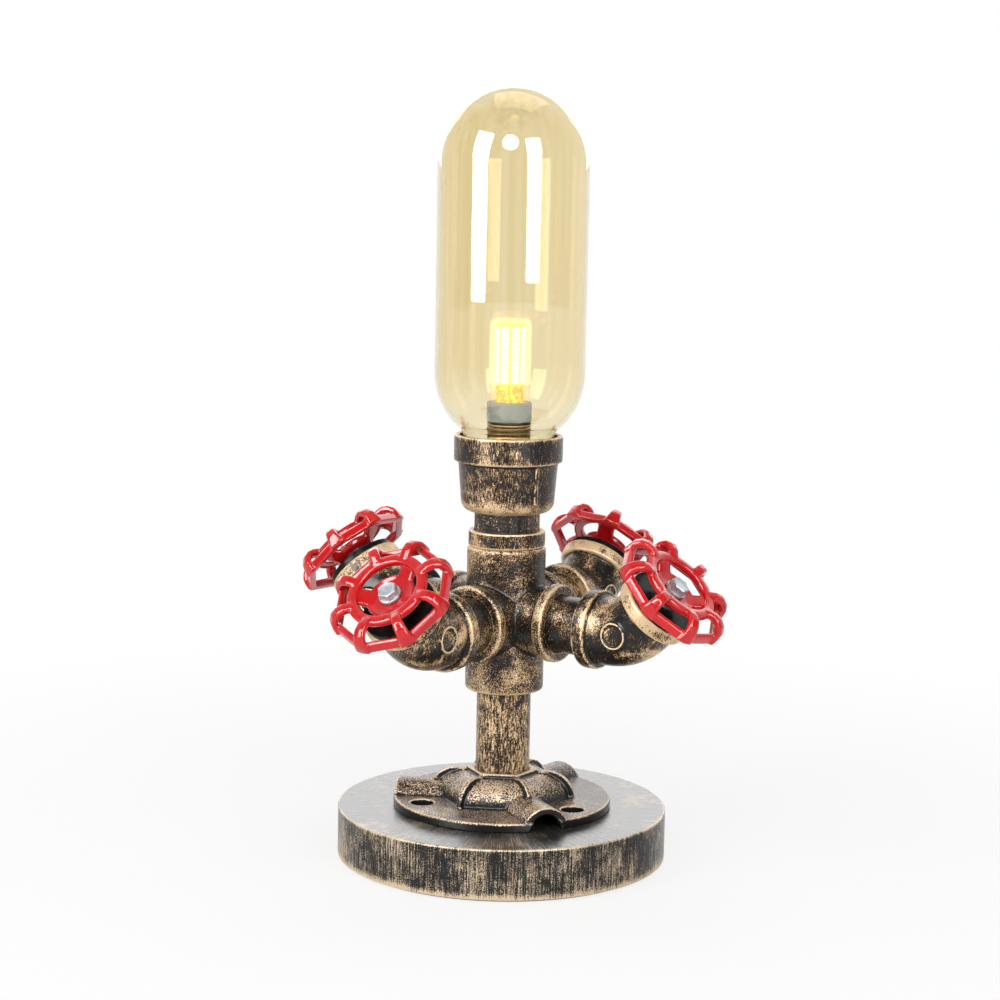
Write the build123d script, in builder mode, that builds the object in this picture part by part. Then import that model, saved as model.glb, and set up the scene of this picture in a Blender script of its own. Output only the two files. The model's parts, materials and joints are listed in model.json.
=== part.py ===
from build123d import *
import math
import os

# Industrial pipe table lamp: a round weighted base, a cast floor flange, a short pipe stem,
# a six-way pipe cross with four capped 45 degree elbows that carry red valve handwheels, and a
# reducing coupling on top that holds a capsule of amber glass over a two-pin lamp.
# Millimetres. +Z up, origin at the centre of the underside, -Y is the front.

# ---------------------------------------------------------------- driving dimensions
# round base and the pad under it
BASE_DIAMETER = 152.4
BASE_TOP_Z = 24.0
BASE_EASE = 0.8
PAD_THICKNESS = 1.0
PAD_INSET = 3.0
RECESS_RADIUS = 32.0
RECESS_DEPTH = 14.0

# cord inlet at the back of the base
INLET_Z = 9.0
INLET_BORE_RADIUS = 3.3
INLET_WALL = 1.7
INLET_LENGTH = 18.0
INLET_LIP_RADIUS = 6.4
INLET_LIP_THICKNESS = 1.8

# floor flange
FLANGE_RADIUS = 50.5
PLATE_THICKNESS = 4.3
DOME_APOTHEM = 27.7
DOME_HEIGHT = 10.9
DOME_BULGE = 3.6
COLLAR_WALL = 2.1
COLLAR_HEIGHT = 2.2
FLANGE_AZIMUTH = -66.0
FLANGE_SIDES = 6
RIB_WIDTH = 2.4
RIB_PROUD = 1.7
CHANNEL_COUNT = 3
CHANNEL_OUTER_RADIUS = 11.2
CHANNEL_INNER_RADIUS = 7.8
CHANNEL_AXIS_RISE = -0.7
CHANNEL_END_INSET = 1.3
CHANNEL_FOOT = 1.3
FLANGE_HOLE_RADIUS = 5.25
FLANGE_HOLE_INSET = 10.5
FLANGE_FLOOR = 3.5

# pipes and the six-way cross
STEM_RADIUS = 12.5
STEM_WALL = 2.5
STEM_SHOWN = 37.6
CROSS_HEIGHT = 67.0
CROSS_WALL = 3.1
CROSS_NECK_WALL = 2.9
CROSS_REACH = 30.5
CROSS_BEAD_WIDTH = 5.2
ARM_HEIGHT = 34.0
ARM_PIPE_RADIUS = 13.1
ARM_PIPE_WALL = 3.6
BEAD_WALL = 4.8
SOCKET_DEPTH = 9.0
RING_WALL = 2.6
RING_HEIGHT = 7.4
NIPPLE_RADIUS = 15.0
NIPPLE_WALL = 3.6
NIPPLE_SHOWN = 8.4

# arms, elbows and end caps
ARM_AZIMUTHS = {"front_right": -33.6, "back_right": 56.4, "back_left": 146.4, "front_left": -123.6}
ARM_GAP = 15.7
ELBOW_RUN = 20.8
ELBOW_ANGLE = 45.0
ELBOW_LEG = 21.0
ELBOW_WALL = 2.4
ELBOW_BEND_RADIUS = 22.0
ELBOW_BEAD_WIDTH = 6.4
EMBLEM_RADIUS = 6.1
EMBLEM_RISE = 1.2
EMBLEM_LINE = 0.9
EMBLEM_PROUD = 0.7
CAP_STEP = 1.1
CAP_THICKNESS = 2.7
CAP_SPIGOT = 8.0
CAP_SPIGOT_STEP = 0.5
CAP_EASE = 0.6

# handwheels, their bolts, washers and spacers; heights are taken from the wheel's own plane
SPACER_LENGTH = 3.35
WHEEL_RADIUS = 29.1
WHEEL_LOBES = 8
WHEEL_SPOKES = 3
WHEEL_PHASES = {"front_right": 235.7, "back_right": 30.0, "back_left": 25.0, "front_left": -2.2}
SPOKE_PHASE = 78.9
RIM_BOTTOM = -3.8
RIM_HEIGHT = 4.2
RIM_WIDTH = 2.8
LOBE_ROUNDING = 3.6
INNER_RING_RADIUS = 18.5
INNER_RING_WIDTH = 4.3
INNER_RING_BOTTOM = 2.0
INNER_RING_HEIGHT = 3.5
HUB_RADIUS = 9.2
HUB_ABOVE = 0.0
HUB_BELOW = 4.0
WEB_THICKNESS = 2.8
SPOKE_WIDTH = 8.0
POST_WIDTH_INNER = 5.2
POST_WIDTH_OUTER = 8.2
POST_TOP = 7.3
POST_THICKNESS = 3.9
BOLT_RADIUS = 2.5
BOLT_HEAD_FLATS = 8.0
BOLT_HEAD_HEIGHT = 3.5
BOLT_LENGTH = 25.0
WASHER_RADIUS = 5.0
WASHER_THICKNESS = 1.0
SPACER_RADIUS = 5.0

# coupling, glass and its gasket
CUP_HEIGHT = 35.5
CUP_BORE_RADIUS = 22.5
CUP_RIM_WALL = 2.4
CUP_RIM_HEIGHT = 12.4
CUP_BODY_STEP = 0.35
CUP_FOOT_WIDTH = 1.05
CUP_SHOULDER = 5.4
CUP_FLOOR = 4.0
CUP_SOCKET_DEPTH = 5.2
CUP_LEDGE_DEPTH = 11.3
CUP_LEDGE_WIDTH = 3.9
CUP_RIB_WIDTH = 2.0
CUP_RIB_PROUD = 0.8
CUP_RIB_AZIMUTH = -55.0
GASKET_THICKNESS = 2.0
GLASS_RADIUS = 34.3
GLASS_WALL = 1.8
GLASS_NECK_SHOWN = 1.837
GLASS_STRAIGHT = 94.6

# tie tube, lampholder and lamp
TIE_RADIUS = 5.0
TIE_WALL = 1.5
NUT_FLATS = 14.0
NUT_HEIGHT = 4.5
BIG_WASHER_RADIUS = 9.0
BIG_WASHER_THICKNESS = 1.5
TIE_END = 0.6
HOLDER_RADIUS = 10.0
HOLDER_WALL = 0.8
HOLDER_CAP_HEIGHT = 8.0
HOLDER_CAP_FLOOR = 4.5
HOLDER_SHOWN = 5.7
HOLDER_RING_PITCH = 2.2
HOLDER_RING_DEPTH = 0.4
HOLDER_RINGS = 4
CORE_CHAMBER_RADIUS = 7.0
CORE_CHAMBER_DEPTH = 5.0
PIN_SPACING = 9.0
PIN_WIDTH = 2.6
PIN_THICKNESS = 0.8
PIN_LENGTH = 9.0
CONTACT_WALL = 0.4
CONTACT_LENGTH = 12.0
CONTACT_FOOT = 1.5
LAMP_BASE_RADIUS = 10.3
LAMP_BASE_HEIGHT = 9.0
LAMP_COVER_RADIUS = 9.5
LAMP_COVER_WALL = 0.7
LAMP_COVER_ROUNDING = 3.0
LAMP_HEIGHT = 47.0
LAMP_CORE_RADIUS = 6.4
LED_WIDTH = 2.6
LED_THICKNESS = 0.6
LED_COLUMNS = 8
LED_MARGIN = 1.5

# supply leads and the terminal block
LEAD_RADIUS = 0.9
LEAD_OFFSET = 1.7
LEAD_TURN = 7.0
LEAD_TIGHT_RADIUS = 3.1
LEAD_EASY_RADIUS = 4.0
BLOCK_LENGTH = 14.0
BLOCK_WIDTH = 17.0
BLOCK_ROOM = 5.0
BLOCK_CLEAR = 1.0
POLE_SPACING = 8.0
BARREL_RADIUS = 2.3
BARREL_BORE_RADIUS = 1.3
BARREL_HEIGHT = 5.0
BARREL_END = 0.5
TERMINAL_SCREW_RADIUS = 1.2
TERMINAL_SCREW_SPACING = 7.0
BLOCK_SCREW_RADIUS = 1.5
BLOCK_SCREW_GRIP = 3.5
BLOCK_SCREW_HEAD_RADIUS = 2.6
BLOCK_SCREW_HEAD = 1.6

# clearances
THREAD_GAP = 0.1
SLIP_GAP = 0.3
GLASS_FIT = 0.8
WHEEL_PLAY = 0.15
PIVOT_GAP = 0.05
CONTACT_GAP = 0.1
CUT_OVERRUN = 1.0

# ---------------------------------------------------------------- sizes that follow
BASE_RADIUS = BASE_DIAMETER / 2
RECESS_TOP_Z = PAD_THICKNESS + RECESS_DEPTH
BLOCK_START = RECESS_RADIUS - BLOCK_ROOM - BLOCK_LENGTH
BLOCK_HEIGHT = RECESS_DEPTH - BLOCK_CLEAR
PLATE_TOP_Z = BASE_TOP_Z + PLATE_THICKNESS
DOME_TOP_Z = PLATE_TOP_Z + DOME_HEIGHT
FLANGE_TOP_Z = DOME_TOP_Z + COLLAR_HEIGHT
COLLAR_APOTHEM = STEM_RADIUS + COLLAR_WALL
CHANNEL_AXIS_Z = BASE_TOP_Z + CHANNEL_AXIS_RISE
CHANNEL_START = DOME_APOTHEM + CHANNEL_FOOT
CHANNEL_END = FLANGE_RADIUS - CHANNEL_END_INSET
FLANGE_HOLE_PLACE = FLANGE_RADIUS - FLANGE_HOLE_INSET
CROSS_BOTTOM_Z = FLANGE_TOP_Z + STEM_SHOWN
CROSS_TOP_Z = CROSS_BOTTOM_Z + CROSS_HEIGHT
CROSS_RADIUS = NIPPLE_RADIUS + CROSS_WALL
CROSS_NECK_RADIUS = ARM_PIPE_RADIUS + CROSS_NECK_WALL
ARM_Z = CROSS_BOTTOM_Z + ARM_HEIGHT
BORE_RADIUS = ARM_PIPE_RADIUS - ARM_PIPE_WALL
BEAD_RADIUS = ARM_PIPE_RADIUS + BEAD_WALL
RING_RADIUS = NIPPLE_RADIUS + RING_WALL
STEM_BOTTOM_Z = BASE_TOP_Z + FLANGE_FLOOR
STEM_TOP_Z = CROSS_BOTTOM_Z + SOCKET_DEPTH
RING_TOP_Z = CROSS_TOP_Z + RING_HEIGHT
CUP_BOTTOM_Z = RING_TOP_Z + NIPPLE_SHOWN
CUP_TOP_Z = CUP_BOTTOM_Z + CUP_HEIGHT
CUP_RIM_RADIUS = CUP_BORE_RADIUS + CUP_RIM_WALL
CUP_BODY_TOP_RADIUS = CUP_BORE_RADIUS + CUP_BODY_STEP
CUP_BODY_BOTTOM_RADIUS = NIPPLE_RADIUS + CUP_FOOT_WIDTH + CUP_SHOULDER
NIPPLE_BOTTOM_Z = CROSS_TOP_Z - SOCKET_DEPTH
NIPPLE_TOP_Z = CUP_BOTTOM_Z + CUP_SOCKET_DEPTH
CUP_FLOOR_Z = NIPPLE_TOP_Z + CUP_FLOOR
CUP_LEDGE_Z = CUP_TOP_Z - CUP_LEDGE_DEPTH
CUP_LEDGE_RADIUS = CUP_BORE_RADIUS - CUP_LEDGE_WIDTH
GASKET_TOP_Z = CUP_LEDGE_Z + GASKET_THICKNESS
HOLDER_TOP_Z = CUP_TOP_Z + HOLDER_SHOWN
UPPER_NUT_Z = CUP_FLOOR_Z + BIG_WASHER_THICKNESS
HOLDER_BOTTOM_Z = UPPER_NUT_Z + NUT_HEIGHT
HOLDER_FLOOR_Z = HOLDER_BOTTOM_Z + HOLDER_CAP_FLOOR
HOLDER_JOINT_Z = HOLDER_BOTTOM_Z + HOLDER_CAP_HEIGHT
TIE_TOP_Z = HOLDER_FLOOR_Z - TIE_END
LOWER_NUT_TOP_Z = RECESS_TOP_Z - BIG_WASHER_THICKNESS
TIE_BOTTOM_Z = LOWER_NUT_TOP_Z - NUT_HEIGHT - TIE_END
GLASS_NECK_RADIUS = CUP_BORE_RADIUS - GLASS_FIT
GLASS_NECK_DROP = math.sqrt(GLASS_RADIUS**2 - GLASS_NECK_RADIUS**2)
GLASS_LOW_CENTRE_Z = CUP_TOP_Z + GLASS_NECK_SHOWN + GLASS_NECK_DROP
GLASS_HIGH_CENTRE_Z = GLASS_LOW_CENTRE_Z + GLASS_STRAIGHT
GLASS_TOP_Z = GLASS_HIGH_CENTRE_Z + GLASS_RADIUS
ARM_SEAT = CROSS_REACH - SOCKET_DEPTH
ELBOW_FACE = CROSS_REACH + ARM_GAP
ELBOW_BEND = ELBOW_FACE + ELBOW_RUN
ELBOW_RADIUS = ARM_PIPE_RADIUS + ELBOW_WALL
CAP_RADIUS = BEAD_RADIUS - CAP_STEP
CAP_SPIGOT_RADIUS = ARM_PIPE_RADIUS - CAP_SPIGOT_STEP
SPACER_START = ELBOW_LEG + CAP_THICKNESS
HUB_START = SPACER_START + SPACER_LENGTH + WHEEL_PLAY
WHEEL_PLACE = HUB_START + HUB_BELOW
HUB_END = WHEEL_PLACE + HUB_ABOVE
WASHER_START = HUB_END + WHEEL_PLAY
HEAD_START = WASHER_START + WASHER_THICKNESS
LOBE_PITCH = 360 / WHEEL_LOBES
CORE_TOP_Z = HOLDER_TOP_Z - CUT_OVERRUN
LAMP_SEAT_Z = HOLDER_TOP_Z + CONTACT_GAP
PIN_PLACES = (-PIN_SPACING / 2, PIN_SPACING / 2)
POLE_PLACES = (-POLE_SPACING / 2, POLE_SPACING / 2)


# ---------------------------------------------------------------- frames and shared shapes
def radial(azimuth):
    """Unit vector that points outwards at an azimuth, in degrees from +X."""
    angle = math.radians(azimuth)
    return Vector(math.cos(angle), math.sin(angle), 0)


def section_plane(azimuth, height=0.0):
    """Upright plane through the lamp's axis: local x runs outwards, local y runs up."""
    outwards = radial(azimuth)
    return Plane(origin=(0, 0, height), x_dir=outwards, z_dir=outwards.cross(Vector(0, 0, 1)))


def leg_plane(azimuth, distance):
    """Plane square to an elbow's second leg, at a distance along it from the bend."""
    outwards = radial(azimuth)
    tilt = math.radians(ELBOW_ANGLE)
    along = outwards * math.cos(tilt) + Vector(0, 0, 1) * math.sin(tilt)
    bend = outwards * ELBOW_BEND + Vector(0, 0, ARM_Z)
    return Plane(origin=bend + along * distance, x_dir=Vector(0, 0, 1).cross(outwards), z_dir=along)


def arm_face(azimuth, distance):
    """Plane square to an arm's horizontal run, at a distance from the lamp's axis."""
    outwards = radial(azimuth)
    return Plane(
        origin=outwards * distance + Vector(0, 0, ARM_Z),
        x_dir=Vector(0, 0, 1).cross(outwards),
        z_dir=outwards,
    )


def rod(plane, radius, length, mode=Mode.ADD):
    """Round bar or hole that starts on a plane and runs along its normal."""
    with BuildSketch(plane) as section:
        Circle(radius)
    extrude(section.sketch, amount=length, mode=mode)


def tube(plane, outer, inner, length):
    """Ring of a given length that starts on a plane."""
    with BuildSketch(plane) as section:
        Circle(outer)
        Circle(inner, mode=Mode.SUBTRACT)
    extrude(section.sketch, amount=length)


def hexagon(plane, flats, height):
    """Hexagonal bar, by the distance across its flats."""
    with BuildSketch(plane) as section:
        RegularPolygon(flats / 2, 6, major_radius=False)
    extrude(section.sketch, amount=height)


def bead(plane, outer, inner, width, ease):
    """Raised band round a pipe end, with its outer edges cut back."""
    upright = Plane(origin=plane.origin, x_dir=plane.x_dir, z_dir=plane.x_dir.cross(plane.z_dir))
    with BuildSketch(upright) as band:
        with Locations(((outer + inner) / 2, width / 2)):
            Rectangle(outer - inner, width)
        chamfer(band.vertices().sort_by(Axis.X)[-2:], ease)
    revolve(band.sketch, axis=Axis(plane.origin, plane.z_dir))


def save(part, name):
    """Label a finished piece and write it."""
    part.label = name
    export_step(part, f"parts/{name}.step")


os.makedirs("parts", exist_ok=True)

# ---------------------------------------------------------------- base
with BuildPart() as foot_pad:
    rod(Plane.XY, BASE_RADIUS - PAD_INSET, PAD_THICKNESS)
save(foot_pad.part, "foot_pad")

INLET_OUTER = INLET_BORE_RADIUS + INLET_WALL
INLET_LIP_SEAT = BASE_RADIUS - BASE_EASE
inlet_plane = Plane(origin=(0, INLET_LIP_SEAT, INLET_Z), x_dir=(1, 0, 0), z_dir=(0, 1, 0))
inlet_inner_plane = Plane(origin=(0, 0, INLET_Z), x_dir=(1, 0, 0), z_dir=(0, 1, 0))

with BuildPart() as base_disc:
    rod(Plane.XY.offset(PAD_THICKNESS), BASE_RADIUS, BASE_TOP_Z - PAD_THICKNESS)
    fillet(base_disc.edges().filter_by(GeomType.CIRCLE), BASE_EASE)
    rod(Plane.XY.offset(PAD_THICKNESS), RECESS_RADIUS, RECESS_DEPTH, Mode.SUBTRACT)
    rod(Plane.XY.offset(RECESS_TOP_Z), TIE_RADIUS + THREAD_GAP, BASE_TOP_Z - RECESS_TOP_Z, Mode.SUBTRACT)
    rod(inlet_inner_plane, INLET_OUTER + THREAD_GAP, BASE_DIAMETER, Mode.SUBTRACT)
    rod(inlet_plane, INLET_LIP_RADIUS + THREAD_GAP, BASE_DIAMETER, Mode.SUBTRACT)
    with BuildSketch(Plane.XY.offset(RECESS_TOP_Z)):
        with Locations((0, BLOCK_START + BLOCK_LENGTH / 2)):
            Circle(BLOCK_SCREW_RADIUS + THREAD_GAP)
    extrude(amount=BLOCK_SCREW_GRIP + CUT_OVERRUN, mode=Mode.SUBTRACT)
save(base_disc.part, "base_disc")

with BuildPart() as cord_grommet:
    rod(inlet_plane, INLET_LIP_RADIUS, INLET_LIP_THICKNESS)
    fillet(cord_grommet.edges().group_by(Axis.Y)[-1], INLET_LIP_THICKNESS / 3)
    rod(inlet_plane, INLET_OUTER, INLET_LIP_THICKNESS - INLET_LENGTH)
    rod(inlet_plane, INLET_BORE_RADIUS, INLET_LENGTH, Mode.SUBTRACT)
    rod(inlet_plane, INLET_BORE_RADIUS, -INLET_LENGTH, Mode.SUBTRACT)
save(cord_grommet.part, "cord_grommet")

# ---------------------------------------------------------------- tie tube that clamps the stack
with BuildPart() as tie_tube:
    tube(Plane.XY.offset(TIE_BOTTOM_Z), TIE_RADIUS, TIE_RADIUS - TIE_WALL, TIE_TOP_Z - TIE_BOTTOM_Z)
save(tie_tube.part, "tie_tube")

with BuildPart() as tie_washers:
    for height in (LOWER_NUT_TOP_Z, CUP_FLOOR_Z):
        tube(Plane.XY.offset(height), BIG_WASHER_RADIUS, TIE_RADIUS + THREAD_GAP, BIG_WASHER_THICKNESS)
save(tie_washers.part, "tie_washers")

with BuildPart() as tie_nuts:
    for height in (LOWER_NUT_TOP_Z - NUT_HEIGHT, UPPER_NUT_Z):
        hexagon(Plane.XY.offset(height), NUT_FLATS, NUT_HEIGHT)
        rod(Plane.XY.offset(height), TIE_RADIUS + THREAD_GAP, NUT_HEIGHT, Mode.SUBTRACT)
save(tie_nuts.part, "tie_nuts")

# ---------------------------------------------------------------- floor flange
# The dome is where arched bars cross: convex panels that meet at the ribs.
SIDE_ANGLE = 360 / FLANGE_SIDES
HEX_CORNER = 1 / math.cos(math.radians(SIDE_ANGLE / 2))
PANEL_AZIMUTH = FLANGE_AZIMUTH + SIDE_ANGLE / 2
DOME_MIDDLE = ((DOME_APOTHEM + COLLAR_APOTHEM) / 2, PLATE_TOP_Z + DOME_HEIGHT / 2)
DOME_SLOPE = math.hypot(DOME_APOTHEM - COLLAR_APOTHEM, DOME_HEIGHT)
BULGE_X = DOME_MIDDLE[0] + DOME_BULGE * DOME_HEIGHT / DOME_SLOPE
BULGE_Z = DOME_MIDDLE[1] + DOME_BULGE * (DOME_APOTHEM - COLLAR_APOTHEM) / DOME_SLOPE


def arch_half(scale, proud):
    """Outline of half an arched section, from the axis out to the plate."""
    foot = (DOME_APOTHEM * scale + proud, PLATE_TOP_Z)
    head = (COLLAR_APOTHEM * scale + proud / 2, DOME_TOP_Z + proud / 2)
    Line((0, BASE_TOP_Z), (foot[0], BASE_TOP_Z))
    Line((foot[0], BASE_TOP_Z), foot)
    ThreePointArc(foot, (BULGE_X * scale + proud, BULGE_Z + proud), head)
    Line(head, (0, head[1]))
    Line((0, head[1]), (0, BASE_TOP_Z))


def arched_bar(azimuth):
    """One arched bar across the dome, long enough to span it."""
    with BuildPart(mode=Mode.PRIVATE) as bar:
        with BuildSketch(section_plane(azimuth)):
            with BuildLine():
                arch_half(1.0, 0.0)
            make_face()
            mirror(about=Plane.YZ)
        extrude(amount=FLANGE_RADIUS, both=True)
    return bar.part


dome = arched_bar(PANEL_AZIMUTH)
for turn in range(1, FLANGE_SIDES // 2):
    dome = dome & arched_bar(PANEL_AZIMUTH + SIDE_ANGLE * turn)
channel_azimuths = [FLANGE_AZIMUTH + 360 / CHANNEL_COUNT * turn for turn in range(CHANNEL_COUNT)]


def channel_plane(azimuth):
    """Plane across a half-pipe hump's axis, at the lamp's axis."""
    outwards = radial(azimuth)
    return Plane(
        origin=(0, 0, CHANNEL_AXIS_Z), x_dir=Vector(0, 0, 1).cross(outwards), z_dir=outwards
    )


with BuildPart() as flange:
    rod(Plane.XY.offset(BASE_TOP_Z), FLANGE_RADIUS, PLATE_THICKNESS)
    fillet(flange.edges().group_by(Axis.Z)[-1], PLATE_THICKNESS / 4)
    for azimuth in channel_azimuths:
        rod(channel_plane(azimuth), CHANNEL_OUTER_RADIUS, CHANNEL_END)
    add(dome)
    for turn in range(FLANGE_SIDES):
        with BuildSketch(section_plane(FLANGE_AZIMUTH + SIDE_ANGLE * turn)):
            with BuildLine():
                arch_half(HEX_CORNER, RIB_PROUD)
            make_face()
        extrude(amount=RIB_WIDTH / 2, both=True)
    with BuildSketch(Plane.XY.offset(DOME_TOP_Z)):
        RegularPolygon(COLLAR_APOTHEM, FLANGE_SIDES, major_radius=False, rotation=FLANGE_AZIMUTH)
    extrude(amount=COLLAR_HEIGHT)
    # level the underside, open the half-pipes, then bore for the stem and the tie tube
    below_plate = CHANNEL_AXIS_RISE - CHANNEL_OUTER_RADIUS - CUT_OVERRUN
    rod(Plane.XY.offset(BASE_TOP_Z), BASE_RADIUS, below_plate, Mode.SUBTRACT)
    for azimuth in channel_azimuths:
        start = channel_plane(azimuth).offset(CHANNEL_START)
        rod(start, CHANNEL_INNER_RADIUS, FLANGE_RADIUS, Mode.SUBTRACT)
    with Locations(Plane.XY.offset(BASE_TOP_Z)):
        with PolarLocations(FLANGE_HOLE_PLACE, CHANNEL_COUNT, start_angle=PANEL_AZIMUTH):
            Cylinder(FLANGE_HOLE_RADIUS, DOME_HEIGHT, mode=Mode.SUBTRACT)
    stem_seat = Plane.XY.offset(STEM_BOTTOM_Z)
    rod(stem_seat, STEM_RADIUS + THREAD_GAP, FLANGE_TOP_Z, Mode.SUBTRACT)
    rod(Plane.XY.offset(BASE_TOP_Z), TIE_RADIUS + THREAD_GAP, FLANGE_FLOOR, Mode.SUBTRACT)
save(flange.part, "flange")

# ---------------------------------------------------------------- stem, cross, ring and nipple
with BuildPart() as stem_pipe:
    tube(Plane.XY.offset(STEM_BOTTOM_Z), STEM_RADIUS, STEM_RADIUS - STEM_WALL, STEM_TOP_Z - STEM_BOTTOM_Z)
save(stem_pipe.part, "stem_pipe")

CROSS_EASE = 1.0
BEAD_EASE = 0.7

with BuildPart() as cross:
    rod(Plane.XY.offset(CROSS_BOTTOM_Z), CROSS_RADIUS, CROSS_HEIGHT)
    chamfer(cross.edges().filter_by(GeomType.CIRCLE), CROSS_EASE)
    for azimuth in ARM_AZIMUTHS.values():
        rod(arm_face(azimuth, 0), CROSS_NECK_RADIUS, CROSS_REACH)
        bead_start = arm_face(azimuth, CROSS_REACH - CROSS_BEAD_WIDTH)
        bead(bead_start, BEAD_RADIUS, CROSS_NECK_RADIUS - CUT_OVERRUN, CROSS_BEAD_WIDTH, BEAD_EASE)
    rod(Plane.XY.offset(CROSS_BOTTOM_Z), STEM_RADIUS - STEM_WALL, CROSS_HEIGHT, Mode.SUBTRACT)
    rod(Plane.XY.offset(CROSS_BOTTOM_Z), STEM_RADIUS + THREAD_GAP, SOCKET_DEPTH, Mode.SUBTRACT)
    rod(Plane.XY.offset(NIPPLE_BOTTOM_Z), NIPPLE_RADIUS + THREAD_GAP, SOCKET_DEPTH, Mode.SUBTRACT)
    for azimuth in ARM_AZIMUTHS.values():
        rod(arm_face(azimuth, 0), BORE_RADIUS, CROSS_REACH, Mode.SUBTRACT)
        rod(arm_face(azimuth, ARM_SEAT), ARM_PIPE_RADIUS + THREAD_GAP, SOCKET_DEPTH, Mode.SUBTRACT)
save(cross.part, "cross")

with BuildPart() as lock_ring:
    tube(Plane.XY.offset(CROSS_TOP_Z), RING_RADIUS, NIPPLE_RADIUS + THREAD_GAP, RING_HEIGHT)
    ring_rims = lock_ring.edges().filter_by(GeomType.CIRCLE).sort_by(SortBy.RADIUS)[-2:]
    fillet(ring_rims, BEAD_EASE)
save(lock_ring.part, "lock_ring")

with BuildPart() as top_nipple:
    nipple_plane = Plane.XY.offset(NIPPLE_BOTTOM_Z)
    tube(nipple_plane, NIPPLE_RADIUS, NIPPLE_RADIUS - NIPPLE_WALL, NIPPLE_TOP_Z - NIPPLE_BOTTOM_Z)
save(top_nipple.part, "top_nipple")


# ---------------------------------------------------------------- arms
def make_arm_pipe(azimuth):
    """Short threaded pipe between the cross and an elbow."""
    length = ELBOW_FACE + SOCKET_DEPTH - ARM_SEAT
    with BuildPart() as arm_pipe:
        tube(arm_face(azimuth, ARM_SEAT), ARM_PIPE_RADIUS, BORE_RADIUS, length)
    return arm_pipe.part


def elbow_run(azimuth):
    """Centre line of an elbow, from its inner face to its outer face."""
    tilt = math.radians(ELBOW_ANGLE)
    leg_end = (ELBOW_BEND + ELBOW_LEG * math.cos(tilt), ELBOW_LEG * math.sin(tilt))
    with BuildLine(section_plane(azimuth, ARM_Z), mode=Mode.PRIVATE) as run:
        FilletPolyline((ELBOW_FACE, 0), (ELBOW_BEND, 0), leg_end, radius=ELBOW_BEND_RADIUS)
    return run.line


def make_elbow(azimuth):
    """Cast elbow with a bead at each end, a socket in each end and a raised ring on each side."""
    run = elbow_run(azimuth)
    inner_face = arm_face(azimuth, ELBOW_FACE)
    outer_bead = leg_plane(azimuth, ELBOW_LEG - ELBOW_BEAD_WIDTH)
    outer_socket = leg_plane(azimuth, ELBOW_LEG - CAP_SPIGOT)
    side = section_plane(azimuth, ARM_Z)
    with BuildPart() as elbow:
        with BuildSketch(inner_face):
            Circle(ELBOW_RADIUS)
        sweep(path=run)
        bead(inner_face, BEAD_RADIUS, ELBOW_RADIUS - CUT_OVERRUN, ELBOW_BEAD_WIDTH, BEAD_EASE)
        bead(outer_bead, BEAD_RADIUS, ELBOW_RADIUS - CUT_OVERRUN, ELBOW_BEAD_WIDTH, BEAD_EASE)
        with BuildSketch(side):
            with Locations((ELBOW_BEND, EMBLEM_RISE)):
                Circle(EMBLEM_RADIUS)
                Circle(EMBLEM_RADIUS - EMBLEM_LINE, mode=Mode.SUBTRACT)
        extrude(amount=ELBOW_RADIUS + EMBLEM_PROUD, both=True)
        with BuildSketch(inner_face):
            Circle(BORE_RADIUS)
        sweep(path=run, mode=Mode.SUBTRACT)
        rod(inner_face, ARM_PIPE_RADIUS + THREAD_GAP, SOCKET_DEPTH, Mode.SUBTRACT)
        rod(outer_socket, CAP_SPIGOT_RADIUS + THREAD_GAP, CAP_SPIGOT, Mode.SUBTRACT)
    return elbow.part


def leg_axis(azimuth):
    """Axis along an elbow's outer leg, used to sort edges along it."""
    plane = leg_plane(azimuth, 0)
    return Axis(plane.origin, plane.z_dir)


def make_end_cap(azimuth):
    """Plastic plug in an elbow's outer end, bored for the wheel's bolt."""
    with BuildPart() as end_cap:
        rod(leg_plane(azimuth, ELBOW_LEG), CAP_RADIUS, CAP_THICKNESS)
        outer_rim = end_cap.edges().filter_by(GeomType.CIRCLE).sort_by(leg_axis(azimuth))[-1]
        fillet(outer_rim, CAP_EASE)
        rod(leg_plane(azimuth, ELBOW_LEG - CAP_SPIGOT), CAP_SPIGOT_RADIUS, CAP_SPIGOT)
        bore_start = leg_plane(azimuth, ELBOW_LEG - CAP_SPIGOT)
        rod(bore_start, BOLT_RADIUS + THREAD_GAP, CAP_SPIGOT + CAP_THICKNESS, Mode.SUBTRACT)
    return end_cap.part


for place, azimuth in ARM_AZIMUTHS.items():
    save(make_arm_pipe(azimuth), f"arm_pipe_{place}")
    save(make_elbow(azimuth), f"elbow_{place}")
    save(make_end_cap(azimuth), f"end_cap_{place}")


# ---------------------------------------------------------------- handwheels
# One wheel is drawn flat, about its own axis, and set on each elbow. Its inner ring stands above
# the rim, arched posts join the two, and a dished web carries the ring on the hub.
HALF_PITCH = math.radians(LOBE_PITCH / 2)
RIM_CORNER = WHEEL_RADIUS + LOBE_ROUNDING * (1 / math.cos(HALF_PITCH) - 1)
RIM_INNER_CORNER = RIM_CORNER - RIM_WIDTH / math.cos(HALF_PITCH)
RIM_TOP = RIM_BOTTOM + RIM_HEIGHT
INNER_RING_TOP = INNER_RING_BOTTOM + INNER_RING_HEIGHT
RING_INNER_RADIUS = INNER_RING_RADIUS - INNER_RING_WIDTH
POST_START = RING_INNER_RADIUS + INNER_RING_WIDTH / 4
POST_END = WHEEL_RADIUS - RIM_WIDTH / 4
POST_MIDDLE = (INNER_RING_RADIUS + POST_END) / 2
WEB_END = RING_INNER_RADIUS + INNER_RING_WIDTH / 2
WEB_TOP = INNER_RING_TOP - INNER_RING_HEIGHT / 3


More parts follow.
